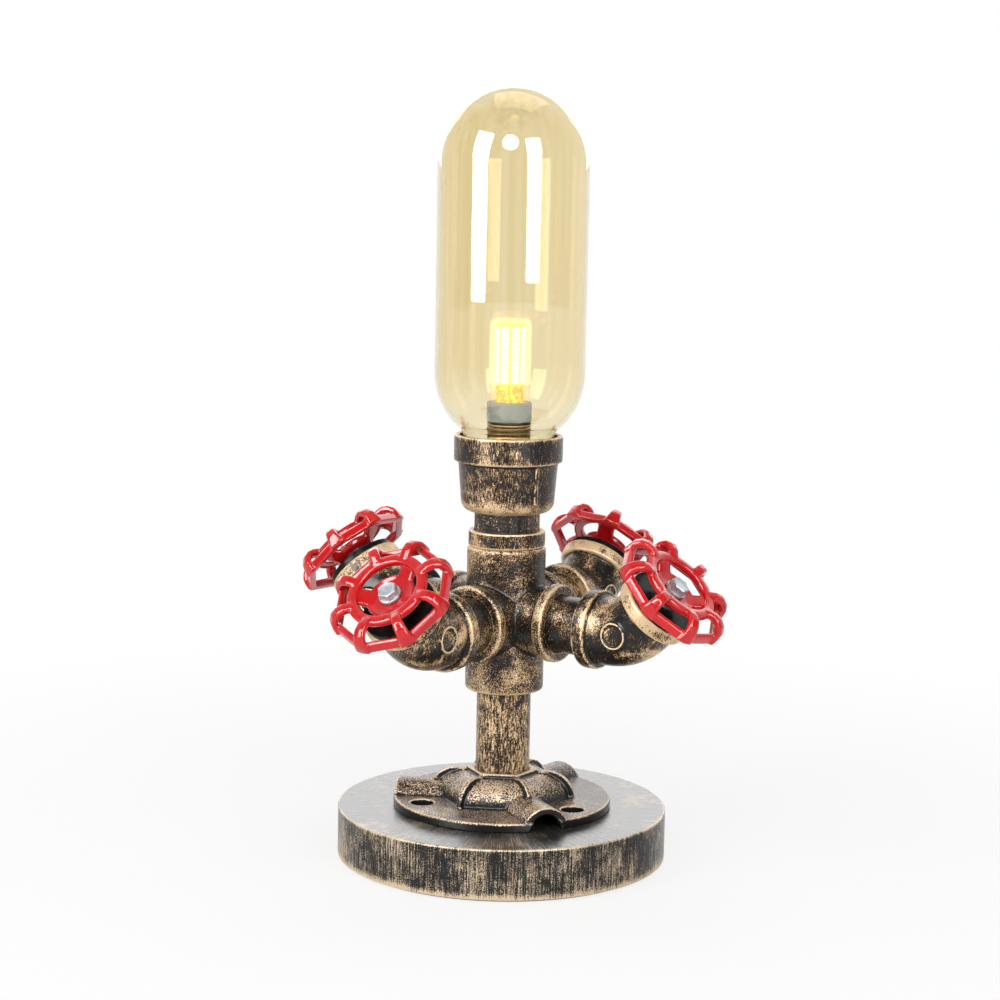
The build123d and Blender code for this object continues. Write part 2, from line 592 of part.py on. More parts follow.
def post_outline():
    """Side view of one arched post: local x runs outwards, local y along the wheel's axis."""
    ThreePointArc((POST_START, INNER_RING_TOP), (POST_MIDDLE, POST_TOP), (POST_END, RIM_TOP))
    Polyline((POST_END, RIM_TOP), (POST_END, RIM_BOTTOM), (RIM_INNER_CORNER, RIM_BOTTOM))
    ThreePointArc(
        (RIM_INNER_CORNER, RIM_BOTTOM),
        (POST_MIDDLE, POST_TOP - POST_THICKNESS),
        (INNER_RING_RADIUS, INNER_RING_BOTTOM),
    )
    Polyline(
        (INNER_RING_RADIUS, INNER_RING_BOTTOM),
        (POST_START, INNER_RING_BOTTOM),
        (POST_START, INNER_RING_TOP),
    )


with BuildPart() as wheel_post:
    with BuildSketch(Plane.XZ):
        with BuildLine():
            post_outline()
        make_face()
    extrude(amount=POST_WIDTH_OUTER / 2, both=True)
    with BuildSketch(Plane.XY.offset(RIM_BOTTOM)):
        with BuildLine():
            Polyline(
                (POST_START, -POST_WIDTH_INNER / 2),
                (INNER_RING_RADIUS, -POST_WIDTH_INNER / 2),
                (POST_END, -POST_WIDTH_OUTER / 2),
                (POST_END, POST_WIDTH_OUTER / 2),
                (INNER_RING_RADIUS, POST_WIDTH_INNER / 2),
                (POST_START, POST_WIDTH_INNER / 2),
                close=True,
            )
        make_face()
    extrude(amount=POST_TOP - RIM_BOTTOM, mode=Mode.INTERSECT)

with BuildPart() as wheel_web:
    with BuildSketch(Plane.XZ):
        with BuildLine():
            Polyline(
                (BOLT_RADIUS + PIVOT_GAP, -HUB_BELOW),
                (HUB_RADIUS, -HUB_BELOW),
                (WEB_END, WEB_TOP - WEB_THICKNESS),
                (WEB_END, WEB_TOP),
                (HUB_RADIUS, HUB_ABOVE),
                (BOLT_RADIUS + PIVOT_GAP, HUB_ABOVE),
                close=True,
            )
        make_face()
    revolve(axis=Axis.Z)
    with BuildSketch(Plane.XY.offset(-HUB_BELOW)):
        Circle(RING_INNER_RADIUS)
        Circle(HUB_RADIUS, mode=Mode.SUBTRACT)
        with PolarLocations(WEB_END / 2, WHEEL_SPOKES, start_angle=SPOKE_PHASE):
            Rectangle(WEB_END, SPOKE_WIDTH, mode=Mode.SUBTRACT)
    extrude(amount=HUB_BELOW + INNER_RING_TOP, mode=Mode.SUBTRACT)

with BuildPart() as wheel:
    with BuildSketch(Plane.XY.offset(RIM_BOTTOM)) as rim:
        RegularPolygon(RIM_CORNER, WHEEL_LOBES)
        fillet(rim.vertices(), LOBE_ROUNDING)
        RegularPolygon(RIM_INNER_CORNER, WHEEL_LOBES, mode=Mode.SUBTRACT)
    extrude(amount=RIM_HEIGHT)
    ring_plane = Plane.XY.offset(INNER_RING_BOTTOM)
    tube(ring_plane, INNER_RING_RADIUS, RING_INNER_RADIUS, INNER_RING_HEIGHT)
    with PolarLocations(0, WHEEL_LOBES):
        add(wheel_post.part)
    add(wheel_web.part)

for place, azimuth in ARM_AZIMUTHS.items():
    with BuildPart() as handwheel:
        with Locations(leg_plane(azimuth, WHEEL_PLACE)):
            add(wheel.part, rotation=(0, 0, WHEEL_PHASES[place]))
    save(handwheel.part, f"handwheel_{place}")

with BuildPart() as wheel_bolts:
    for azimuth in ARM_AZIMUTHS.values():
        hexagon(leg_plane(azimuth, HEAD_START), BOLT_HEAD_FLATS, BOLT_HEAD_HEIGHT)
        rod(leg_plane(azimuth, HEAD_START), BOLT_RADIUS, -BOLT_LENGTH)
save(wheel_bolts.part, "wheel_bolts")

with BuildPart() as wheel_washers:
    for azimuth in ARM_AZIMUTHS.values():
        washer_face = leg_plane(azimuth, WASHER_START)
        tube(washer_face, WASHER_RADIUS, BOLT_RADIUS + THREAD_GAP, WASHER_THICKNESS)
save(wheel_washers.part, "wheel_washers")

with BuildPart() as wheel_spacers:
    for azimuth in ARM_AZIMUTHS.values():
        tube(leg_plane(azimuth, SPACER_START), SPACER_RADIUS, BOLT_RADIUS + THREAD_GAP, SPACER_LENGTH)
save(wheel_spacers.part, "wheel_spacers")

# ---------------------------------------------------------------- coupling and glass
NIPPLE_SOCKET = NIPPLE_RADIUS + THREAD_GAP
SHOULDER_Z = CUP_BOTTOM_Z + CUP_SHOULDER
RIM_BOTTOM_Z = CUP_TOP_Z - CUP_RIM_HEIGHT
SHOULDER_FOOT = CUP_BODY_BOTTOM_RADIUS - CUP_SHOULDER

with BuildPart() as cup:
    with BuildSketch(Plane.XZ) as cup_section:
        with BuildLine():
            Line((NIPPLE_SOCKET, CUP_BOTTOM_Z), (SHOULDER_FOOT, CUP_BOTTOM_Z))
            RadiusArc(
                (SHOULDER_FOOT, CUP_BOTTOM_Z), (CUP_BODY_BOTTOM_RADIUS, SHOULDER_Z), -CUP_SHOULDER
            )
            Polyline(
                (CUP_BODY_BOTTOM_RADIUS, SHOULDER_Z),
                (CUP_BODY_TOP_RADIUS, RIM_BOTTOM_Z),
                (CUP_RIM_RADIUS, RIM_BOTTOM_Z),
                (CUP_RIM_RADIUS, CUP_TOP_Z),
                (CUP_BORE_RADIUS, CUP_TOP_Z),
                (CUP_BORE_RADIUS, CUP_LEDGE_Z),
                (CUP_LEDGE_RADIUS, CUP_LEDGE_Z),
                (CUP_LEDGE_RADIUS, CUP_FLOOR_Z),
                (TIE_RADIUS + THREAD_GAP, CUP_FLOOR_Z),
                (TIE_RADIUS + THREAD_GAP, NIPPLE_TOP_Z),
                (NIPPLE_SOCKET, NIPPLE_TOP_Z),
                (NIPPLE_SOCKET, CUP_BOTTOM_Z),
            )
        make_face()
        rim_corners = cup_section.vertices().filter_by_position(Axis.X, CUP_RIM_RADIUS, CUP_RIM_RADIUS)
        fillet(rim_corners, CROSS_EASE)
    revolve(axis=Axis.Z)
    for azimuth in (CUP_RIB_AZIMUTH, CUP_RIB_AZIMUTH + 180):
        with BuildSketch(section_plane(azimuth)):
            with BuildLine():
                Polyline(
                    (CUP_BODY_BOTTOM_RADIUS - CUT_OVERRUN, SHOULDER_Z),
                    (CUP_BODY_BOTTOM_RADIUS + CUP_RIB_PROUD, SHOULDER_Z),
                    (CUP_BODY_TOP_RADIUS + CUP_RIB_PROUD, RIM_BOTTOM_Z + CUT_OVERRUN),
                    (CUP_BODY_TOP_RADIUS - CUT_OVERRUN, RIM_BOTTOM_Z + CUT_OVERRUN),
                    close=True,
                )
            make_face()
        extrude(amount=CUP_RIB_WIDTH / 2, both=True)
save(cup.part, "cup")

with BuildPart() as glass_gasket:
    gasket_plane = Plane.XY.offset(CUP_LEDGE_Z)
    tube(gasket_plane, CUP_BORE_RADIUS - SLIP_GAP, CUP_LEDGE_RADIUS + SLIP_GAP, GASKET_THICKNESS)
save(glass_gasket.part, "glass_gasket")

GLASS_SEAT_Z = GASKET_TOP_Z + CONTACT_GAP


def glass_curve(inset):
    """Half outline of the capsule, from the neck's foot to the crown, a given depth inside it."""
    bulb_radius = GLASS_RADIUS - inset
    neck_radius = GLASS_NECK_RADIUS - inset
    drop = math.sqrt(bulb_radius**2 - neck_radius**2)
    join = (neck_radius, GLASS_LOW_CENTRE_Z - drop)
    half_turn = math.atan2(drop, neck_radius) / 2
    low_middle = (
        bulb_radius * math.cos(half_turn),
        GLASS_LOW_CENTRE_Z - bulb_radius * math.sin(half_turn),
    )
    diagonal = bulb_radius * math.sqrt(0.5)
    Line((neck_radius, GLASS_SEAT_Z), join)
    ThreePointArc(join, low_middle, (bulb_radius, GLASS_LOW_CENTRE_Z))
    Line((bulb_radius, GLASS_LOW_CENTRE_Z), (bulb_radius, GLASS_HIGH_CENTRE_Z))
    ThreePointArc(
        (bulb_radius, GLASS_HIGH_CENTRE_Z),
        (diagonal, GLASS_HIGH_CENTRE_Z + diagonal),
        (0, GLASS_HIGH_CENTRE_Z + bulb_radius),
    )


with BuildPart() as glass_shade:
    with BuildSketch(Plane.XZ):
        with BuildLine():
            glass_curve(0)
            glass_curve(GLASS_WALL)
            Line((GLASS_NECK_RADIUS, GLASS_SEAT_Z), (GLASS_NECK_RADIUS - GLASS_WALL, GLASS_SEAT_Z))
            Line((0, GLASS_TOP_Z), (0, GLASS_TOP_Z - GLASS_WALL))
        make_face()
    revolve(axis=Axis.Z)
save(glass_shade.part, "glass_shade")

# ---------------------------------------------------------------- lampholder
SLEEVE_BORE = HOLDER_RADIUS - HOLDER_WALL
CORE_RADIUS = SLEEVE_BORE - THREAD_GAP
CHAMBER_TOP_Z = HOLDER_FLOOR_Z + CORE_CHAMBER_DEPTH
CONTACT_TOP_Z = CORE_TOP_Z - CUT_OVERRUN
CONTACT_BOTTOM_Z = CONTACT_TOP_Z - CONTACT_LENGTH
CONTACT_INSIDE = (PIN_WIDTH + 2 * CONTACT_GAP, PIN_THICKNESS + 2 * CONTACT_GAP)
CONTACT_OUTSIDE = (CONTACT_INSIDE[0] + 2 * CONTACT_WALL, CONTACT_INSIDE[1] + 2 * CONTACT_WALL)

with BuildPart() as holder_cap:
    rod(Plane.XY.offset(HOLDER_BOTTOM_Z), HOLDER_RADIUS, HOLDER_CAP_HEIGHT)
    rod(Plane.XY.offset(HOLDER_FLOOR_Z), SLEEVE_BORE, HOLDER_CAP_HEIGHT, Mode.SUBTRACT)
    rod(Plane.XY.offset(HOLDER_BOTTOM_Z), TIE_RADIUS + THREAD_GAP, HOLDER_CAP_FLOOR, Mode.SUBTRACT)
save(holder_cap.part, "holder_cap")

with BuildPart() as holder_sleeve:
    tube(Plane.XY.offset(HOLDER_JOINT_Z), HOLDER_RADIUS, SLEEVE_BORE, HOLDER_TOP_Z - HOLDER_JOINT_Z)
    with BuildSketch(Plane.XZ):
        for turn in range(HOLDER_RINGS):
            with Locations((HOLDER_RADIUS, HOLDER_TOP_Z - HOLDER_RING_PITCH * (turn + 1))):
                Circle(HOLDER_RING_DEPTH)
    revolve(axis=Axis.Z, mode=Mode.SUBTRACT)
save(holder_sleeve.part, "holder_sleeve")

with BuildPart() as holder_core:
    rod(Plane.XY.offset(HOLDER_FLOOR_Z), CORE_RADIUS, CORE_TOP_Z - HOLDER_FLOOR_Z)
    rod(Plane.XY.offset(HOLDER_FLOOR_Z), CORE_CHAMBER_RADIUS, CORE_CHAMBER_DEPTH, Mode.SUBTRACT)
    with BuildSketch(Plane.XY.offset(HOLDER_FLOOR_Z)):
        with Locations(*[(place, 0) for place in PIN_PLACES]):
            Rectangle(CONTACT_OUTSIDE[0] + 2 * CONTACT_GAP, CONTACT_OUTSIDE[1] + 2 * CONTACT_GAP)
    extrude(amount=CORE_TOP_Z - HOLDER_FLOOR_Z, mode=Mode.SUBTRACT)
save(holder_core.part, "holder_core")

with BuildPart() as holder_contacts:
    with BuildSketch(Plane.XY.offset(CONTACT_BOTTOM_Z)):
        with Locations(*[(place, 0) for place in PIN_PLACES]):
            Rectangle(*CONTACT_OUTSIDE)
    extrude(amount=CONTACT_LENGTH)
    with BuildSketch(Plane.XY.offset(CONTACT_BOTTOM_Z + CONTACT_FOOT)):
        with Locations(*[(place, 0) for place in PIN_PLACES]):
            Rectangle(*CONTACT_INSIDE)
    extrude(amount=CONTACT_LENGTH, mode=Mode.SUBTRACT)
save(holder_contacts.part, "holder_contacts")

# ---------------------------------------------------------------- plug-in lamp
LAMP_BASE_TOP_Z = LAMP_SEAT_Z + LAMP_BASE_HEIGHT
LAMP_TOP_Z = LAMP_SEAT_Z + LAMP_HEIGHT
CARRIER_TOP_Z = LAMP_TOP_Z - LAMP_COVER_WALL - LED_MARGIN
CARRIER_APOTHEM = LAMP_CORE_RADIUS * math.cos(math.pi / LED_COLUMNS)

with BuildPart() as lamp_base:
    rod(Plane.XY.offset(LAMP_SEAT_Z), LAMP_BASE_RADIUS, LAMP_BASE_HEIGHT)
    fillet(lamp_base.edges().filter_by(GeomType.CIRCLE), BASE_EASE)
save(lamp_base.part, "lamp_base")

with BuildPart() as lamp_pins:
    with BuildSketch(Plane.XY.offset(LAMP_SEAT_Z)):
        with Locations(*[(place, 0) for place in PIN_PLACES]):
            Rectangle(PIN_WIDTH, PIN_THICKNESS)
    extrude(amount=-PIN_LENGTH)
save(lamp_pins.part, "lamp_pins")

with BuildPart() as led_carrier:
    with BuildSketch(Plane.XY.offset(LAMP_BASE_TOP_Z)):
        RegularPolygon(LAMP_CORE_RADIUS, LED_COLUMNS)
    extrude(amount=CARRIER_TOP_Z - LAMP_BASE_TOP_Z)
save(led_carrier.part, "led_carrier")

with BuildPart() as led_strips:
    strip_height = CARRIER_TOP_Z - LAMP_BASE_TOP_Z - 2 * LED_MARGIN
    with BuildSketch(Plane.XY.offset(LAMP_BASE_TOP_Z + LED_MARGIN)):
        strip_place = CARRIER_APOTHEM + LED_THICKNESS / 2
        with PolarLocations(strip_place, LED_COLUMNS, start_angle=180 / LED_COLUMNS):
            Rectangle(LED_THICKNESS, LED_WIDTH)
    extrude(amount=strip_height)
save(led_strips.part, "led_strips")

with BuildPart() as lamp_cover:
    rod(Plane.XY.offset(LAMP_BASE_TOP_Z), LAMP_COVER_RADIUS, LAMP_TOP_Z - LAMP_BASE_TOP_Z)
    fillet(lamp_cover.edges().group_by(Axis.Z)[-1], LAMP_COVER_ROUNDING)
    offset(amount=-LAMP_COVER_WALL, openings=lamp_cover.faces().sort_by(Axis.Z)[0])
save(lamp_cover.part, "lamp_cover")

# ---------------------------------------------------------------- leads and terminal block
BLOCK_BOTTOM_Z = RECESS_TOP_Z - BLOCK_HEIGHT
BARREL_Z = BLOCK_BOTTOM_Z + BARREL_HEIGHT
BARREL_START = BLOCK_START + BARREL_END
BARREL_LENGTH = BLOCK_LENGTH - 2 * BARREL_END
BLOCK_CENTRE_Y = BLOCK_START + BLOCK_LENGTH / 2
SCREW_FACE_Z = BLOCK_BOTTOM_Z + SLIP_GAP
SCREW_PLACES = [
    (pole, BLOCK_CENTRE_Y + side * TERMINAL_SCREW_SPACING / 2)
    for pole in POLE_PLACES
    for side in (-1, 1)
]
SCREW_LENGTH = BARREL_Z - LEAD_RADIUS - CONTACT_GAP - SCREW_FACE_Z
block_end = Plane(origin=(0, BLOCK_START, BARREL_Z), x_dir=(1, 0, 0), z_dir=(0, 1, 0))
barrel_end = block_end.offset(BARREL_END)


def poles(plane, radius, length, mode=Mode.ADD):
    """One round bar or hole on each pole of the block."""
    with BuildSketch(plane) as section:
        with Locations(*[(pole, 0) for pole in POLE_PLACES]):
            Circle(radius)
    extrude(section.sketch, amount=length, mode=mode)


def screw_holes(radius, length, mode):
    """One upright bar or hole at each clamp screw."""
    with BuildSketch(Plane.XY.offset(SCREW_FACE_Z)) as section:
        with Locations(*SCREW_PLACES):
            Circle(radius)
    extrude(section.sketch, amount=length, mode=mode)


with BuildPart() as terminal_block:
    with BuildSketch(Plane.XY.offset(BLOCK_BOTTOM_Z)):
        with Locations((0, BLOCK_CENTRE_Y)):
            Rectangle(BLOCK_WIDTH, BLOCK_LENGTH)
    extrude(amount=BLOCK_HEIGHT)
    poles(block_end, BARREL_RADIUS + THREAD_GAP, BLOCK_LENGTH, Mode.SUBTRACT)
    with BuildSketch(Plane.XY.offset(BLOCK_BOTTOM_Z)):
        with Locations(*SCREW_PLACES):
            Circle(TERMINAL_SCREW_RADIUS + THREAD_GAP)
    extrude(amount=BARREL_HEIGHT, mode=Mode.SUBTRACT)
    with BuildSketch(Plane.XY.offset(BLOCK_BOTTOM_Z)):
        with Locations((0, BLOCK_CENTRE_Y)):
            Circle(BLOCK_SCREW_HEAD_RADIUS + THREAD_GAP)
    extrude(amount=SLIP_GAP + BLOCK_SCREW_HEAD, mode=Mode.SUBTRACT)
    with BuildSketch(Plane.XY.offset(BLOCK_BOTTOM_Z)):
        with Locations((0, BLOCK_CENTRE_Y)):
            Circle(BLOCK_SCREW_RADIUS + THREAD_GAP)
    extrude(amount=BLOCK_HEIGHT, mode=Mode.SUBTRACT)
save(terminal_block.part, "terminal_block")

with BuildPart() as terminal_barrels:
    poles(barrel_end, BARREL_RADIUS, BARREL_LENGTH)
    poles(barrel_end, BARREL_BORE_RADIUS, BARREL_LENGTH, Mode.SUBTRACT)
    screw_holes(TERMINAL_SCREW_RADIUS + THREAD_GAP, BARREL_Z - SCREW_FACE_Z, Mode.SUBTRACT)
save(terminal_barrels.part, "terminal_barrels")

with BuildPart() as terminal_screws:
    screw_holes(TERMINAL_SCREW_RADIUS, SCREW_LENGTH, Mode.ADD)
save(terminal_screws.part, "terminal_screws")

with BuildPart() as block_screw:
    with BuildSketch(Plane.XY.offset(SCREW_FACE_Z)):
        with Locations((0, BLOCK_CENTRE_Y)):
            Circle(BLOCK_SCREW_HEAD_RADIUS)
    extrude(amount=BLOCK_SCREW_HEAD)
    with BuildSketch(Plane.XY.offset(SCREW_FACE_Z)):
        with Locations((0, BLOCK_CENTRE_Y)):
            Circle(BLOCK_SCREW_RADIUS)
    extrude(amount=RECESS_TOP_Z + BLOCK_SCREW_GRIP - SCREW_FACE_Z)
save(block_screw.part, "block_screw")


def make_lead(side):
    """One insulated wire from the block, up the tie tube, to its contact in the holder."""
    tube_x = side * LEAD_OFFSET
    pole_x = side * POLE_SPACING / 2
    contact_x = side * PIN_SPACING / 2
    route = [
        (pole_x, BLOCK_START + BLOCK_LENGTH / 3, BARREL_Z),
        (pole_x, LEAD_TURN, BARREL_Z),
        (tube_x, 0, BARREL_Z),
        (tube_x, 0, TIE_TOP_Z),
        (contact_x, 0, CHAMBER_TOP_Z - LEAD_RADIUS),
        (contact_x, 0, CONTACT_BOTTOM_Z),
    ]
    bends = [LEAD_EASY_RADIUS, LEAD_TIGHT_RADIUS, LEAD_EASY_RADIUS, LEAD_EASY_RADIUS]
    with BuildPart() as lead:
        with BuildLine() as run:
            FilletPolyline(*route, radius=bends)
        with BuildSketch(Plane(origin=run.line @ 0, z_dir=run.line % 0)):
            Circle(LEAD_RADIUS)
        sweep(path=run.line)
    length = run.wires()[0].length
    filled = lead.part.volume / (math.pi * LEAD_RADIUS**2 * length)
    print(f"lead bends {bends}, length {length:.1f}, volume over section times length {filled:.4f}")
    return lead.part


save(make_lead(-1), "lead_neutral")
save(make_lead(1), "lead_live")
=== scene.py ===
# %% [markdown]
# # Industrial pipe table lamp
# The lamp is pipe fittings screwed together: a round base, a cast floor flange, a stem, a six-way
# cross with four capped elbows that carry red valve handwheels, and a capsule of amber glass over a
# small LED lamp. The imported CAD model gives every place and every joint, and this script gives each
# piece its surface. It could colour the CAD solids and stop there, but castings have no sharp edges,
# so the pieces that show most are made again here, softer, in the same places.

# %% Load the frame
import json
import math

import bmesh
import bpy
import numpy as np
from mathutils import Matrix, Vector


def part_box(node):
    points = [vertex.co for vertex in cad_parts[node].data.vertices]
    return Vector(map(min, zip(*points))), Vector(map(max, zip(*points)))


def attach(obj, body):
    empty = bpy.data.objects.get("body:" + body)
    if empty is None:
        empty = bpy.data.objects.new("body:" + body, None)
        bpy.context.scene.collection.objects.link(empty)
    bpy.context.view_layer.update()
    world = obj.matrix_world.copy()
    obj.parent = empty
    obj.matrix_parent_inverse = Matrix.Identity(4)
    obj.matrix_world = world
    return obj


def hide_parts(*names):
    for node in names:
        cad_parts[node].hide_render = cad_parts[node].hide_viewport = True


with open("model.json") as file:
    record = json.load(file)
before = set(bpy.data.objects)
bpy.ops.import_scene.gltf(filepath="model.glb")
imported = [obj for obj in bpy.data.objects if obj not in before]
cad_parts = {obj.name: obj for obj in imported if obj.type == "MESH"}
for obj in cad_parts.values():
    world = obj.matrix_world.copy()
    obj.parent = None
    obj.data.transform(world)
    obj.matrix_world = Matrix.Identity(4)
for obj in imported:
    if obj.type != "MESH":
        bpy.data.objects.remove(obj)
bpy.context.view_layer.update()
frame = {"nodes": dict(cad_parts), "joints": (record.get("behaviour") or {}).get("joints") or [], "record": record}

MM = 0.001
NODES = frame["nodes"]
JOINTS = {joint["name"]: joint for joint in frame["joints"]}
PLACES = ("front_right", "back_right", "back_left", "front_left")

# %% [markdown]
# ## Camera
# The photograph was taken from a little above the elbows with a long lens, so the uprights hardly
# converge. A Blender camera needs a place, a turn and a lens. These were fitted to the base, the
# glass and the wheels, and the slight roll is the photograph's own.

# %% Camera
PICTURE_SIZE = 1000
SENSOR_WIDTH = 36.0
FOCAL_PIXELS = 2305.0
CAMERA_PLACE = (0.0, -1.0459, 0.3145)
CAMERA_PITCH = 8.033
CAMERA_ROLL = 1.1
AXIS_PIXEL = 507.5

camera_data = bpy.data.cameras.new("camera")
camera_data.sensor_width = SENSOR_WIDTH
camera_data.lens = FOCAL_PIXELS / PICTURE_SIZE * SENSOR_WIDTH
camera_data.shift_x = (PICTURE_SIZE / 2 - AXIS_PIXEL) / PICTURE_SIZE
camera = bpy.data.objects.new("camera", camera_data)
camera.matrix_world = (
    Matrix.Translation(CAMERA_PLACE)
    @ Matrix.Rotation(math.radians(90 - CAMERA_PITCH), 4, "X")
    @ Matrix.Rotation(math.radians(CAMERA_ROLL), 4, "Z")
)
bpy.context.scene.collection.objects.link(camera)
bpy.context.scene.camera = camera
bpy.context.scene.view_settings.view_transform = "Standard"
print("lens", round(camera_data.lens, 1))

# %% [markdown]
# ## Small helpers for materials
# A material is a tree of nodes, and wiring one by hand takes many lines. These helpers add one node
# each, so that a finish below reads as a list of what it is made of.


# %% Node helpers
def shader(tree, kind, inputs=None, **settings):
    """Add one shader node, with its settings and its input sockets' values or links."""
    node = tree.nodes.new("ShaderNode" + kind)
    for name, value in settings.items():
        setattr(node, name, value)
    for name, value in (inputs or {}).items():
        connect(tree, node.inputs[name], value)
    return node


def connect(tree, socket, value):
    """Link a socket to another node's output, or set its own value."""
    if isinstance(value, bpy.types.NodeSocket):
        tree.links.new(value, socket)
    else:
        socket.default_value = value


def number(tree, operation, first, second=0.0):
    """One step of arithmetic."""
    node = shader(tree, "Math", operation=operation)
    connect(tree, node.inputs[0], first)
    connect(tree, node.inputs[1], second)
    return node.outputs[0]


def line(tree, value, slope, start):
    """start + slope * value."""
    return number(tree, "ADD", number(tree, "MULTIPLY", value, slope), start)


def blend_colours(tree, factor, first, second):
    """Mix two colours by a factor."""
    node = shader(tree, "Mix", data_type="RGBA", blend_type="MIX")
    connect(tree, node.inputs[0], factor)
    connect(tree, node.inputs[6], first)
    connect(tree, node.inputs[7], second)
    return node.outputs[2]


def noise(tree, place, scale, detail=3.0, roughness=0.55):
    """Noise between 0 and 1, with as many patches to the metre as its scale."""
    inputs = {"Vector": place, "Scale": scale, "Detail": detail, "Roughness": roughness}
    return shader(tree, "TexNoise", inputs).outputs["Fac"]


def ramp(tree, value, low, high):
    """Smooth step from 0 at one value to 1 at another."""
    inputs = {"Value": value, "From Min": low, "From Max": high}
    node = shader(tree, "MapRange", inputs, interpolation_type="SMOOTHSTEP", clamp=True)
    return node.outputs["Result"]


def axis_of(tree, place, axis):
    """One coordinate of a place."""
    return shader(tree, "SeparateXYZ", {"Vector": place}).outputs[axis]


def from_stem(tree, place):
    """A place's level part, measured from the axis of the stem, and its length."""
    axes = shader(tree, "SeparateXYZ", {"Vector": place}).outputs
    level = shader(tree, "CombineXYZ", {"X": axes["X"], "Y": axes["Y"]}).outputs["Vector"]
    return level, shader(tree, "VectorMath", {0: level}, operation="LENGTH").outputs["Value"]


def stretched(tree, place, stretch, turn=(0.0, 0.0, 0.0)):
    """Coordinates turned and then drawn out along some axes, which makes streaks of noise."""
    inputs = {"Vector": place, "Scale": stretch, "Rotation": turn}
    return shader(tree, "Mapping", inputs, vector_type="TEXTURE").outputs["Vector"]


def new_material(name):
    """An empty material with a Principled shader; returns the tree, the shader and its place."""
    material = bpy.data.materials.new(name)
    material.use_nodes = True
    tree = material.node_tree
    tree.nodes.clear()
    surface = shader(tree, "BsdfPrincipled")
    output = shader(tree, "OutputMaterial")
    tree.links.new(surface.outputs["BSDF"], output.inputs["Surface"])
    place = shader(tree, "TexCoord").outputs["Object"]
    return material, tree, surface, place


def finish_with(tree, surface, **sockets):
    """Set or link the Principled shader's sockets, written with underscores for spaces."""
    for name, value in sockets.items():
        connect(tree, surface.inputs[name.replace("_", " ")], value)


def bump(tree, height, depth):
    """Normal for a height between 0 and 1 that stands for so many metres."""
    inputs = {"Height": height, "Distance": depth, "Strength": 1.0}
    return shader(tree, "Bump", inputs).outputs["Normal"]


# %% [markdown]
# ## Rubbed bronze
# The fittings are black, with dull gold rubbed on with an almost dry brush. The gold stays on ridges
# and raised grain and misses the hollows. It could be painted by hand, but a rule does it better for
# thirty pieces: add up how exposed a point is, a broad patchiness, long brush streaks and fine grain,
# and call it gold where the sum passes a threshold. The sum is a node group, so that each fitting
# can have its own amounts.


# %% Rubbed bronze group
BROAD_SCALE = 55.0
MOTTLE_SCALE = 260.0
STREAK_SCALE = 1500.0
NO_GOLD, ALL_GOLD = 0.22, 1.02


def make_rubbed_group():
    """Mask of gold over black, its tone and its height."""
    group = bpy.data.node_groups.new("rubbed_bronze", "ShaderNodeTree")
    for name, kind in (("Place", "Vector"), ("Brushed", "Vector"), ("Worn", "Float"),
                       ("Cover", "Float"), ("Edge", "Float"), ("Streak", "Float"),
                       ("Grain", "Float"), ("Patch", "Float"), ("Grain Scale", "Float")):
        group.interface.new_socket(name, in_out="INPUT", socket_type="NodeSocket" + kind)
    for name in ("Gold", "Height"):
        group.interface.new_socket(name, in_out="OUTPUT", socket_type="NodeSocketFloat")
    given = group.nodes.new("NodeGroupInput").outputs
    result = group.nodes.new("NodeGroupOutput").inputs

    def share(value, amount):
        centred = number(group, "SUBTRACT", value, 0.5)
        return number(group, "MULTIPLY", centred, amount)

    bend = number(group, "SUBTRACT", given["Worn"], 0.5)
    doubled = number(group, "MULTIPLY", number(group, "ABSOLUTE", bend), 2.0)
    sharp = number(group, "MULTIPLY", bend, doubled)
    broad = noise(group, given["Place"], BROAD_SCALE, 2.0)
    mottle = noise(group, given["Place"], MOTTLE_SCALE, 3.0, 0.6)
    streaks = noise(group, given["Brushed"], STREAK_SCALE, 4.0, 0.65)
    grain = noise(group, given["Place"], given["Grain Scale"], 1.5, 0.5)
    total = number(group, "ADD", given["Cover"], number(group, "MULTIPLY", sharp, given["Edge"]))
    half_patch = number(group, "MULTIPLY", given["Patch"], 0.5)
    for value, amount in ((broad, given["Patch"]), (mottle, half_patch),
                          (streaks, given["Streak"]), (grain, given["Grain"])):
        total = number(group, "ADD", total, share(value, amount))
    height = line(group, streaks, 0.4, number(group, "MULTIPLY", grain, 0.6))
    group.links.new(ramp(group, total, NO_GOLD, ALL_GOLD), result["Gold"])
    group.links.new(height, result["Height"])
    return group


RUBBED = make_rubbed_group()

# how much gold, and the colour that much gives over the black
BRONZE_TONES = (
    (0.00, (0.010, 0.009, 0.008, 1.0)),
    (0.22, (0.045, 0.027, 0.015, 1.0)),
    (0.42, (0.155, 0.086, 0.038, 1.0)),
    (0.62, (0.370, 0.226, 0.108, 1.0)),
    (0.88, (0.800, 0.590, 0.350, 1.0)),
)
RUSTY_TONES = (
    (0.00, (0.010, 0.010, 0.010, 1.0)),
    (0.22, (0.044, 0.028, 0.019, 1.0)),
    (0.42, (0.150, 0.088, 0.050, 1.0)),
    (0.62, (0.340, 0.225, 0.140, 1.0)),
    (0.88, (0.760, 0.590, 0.420, 1.0)),
)


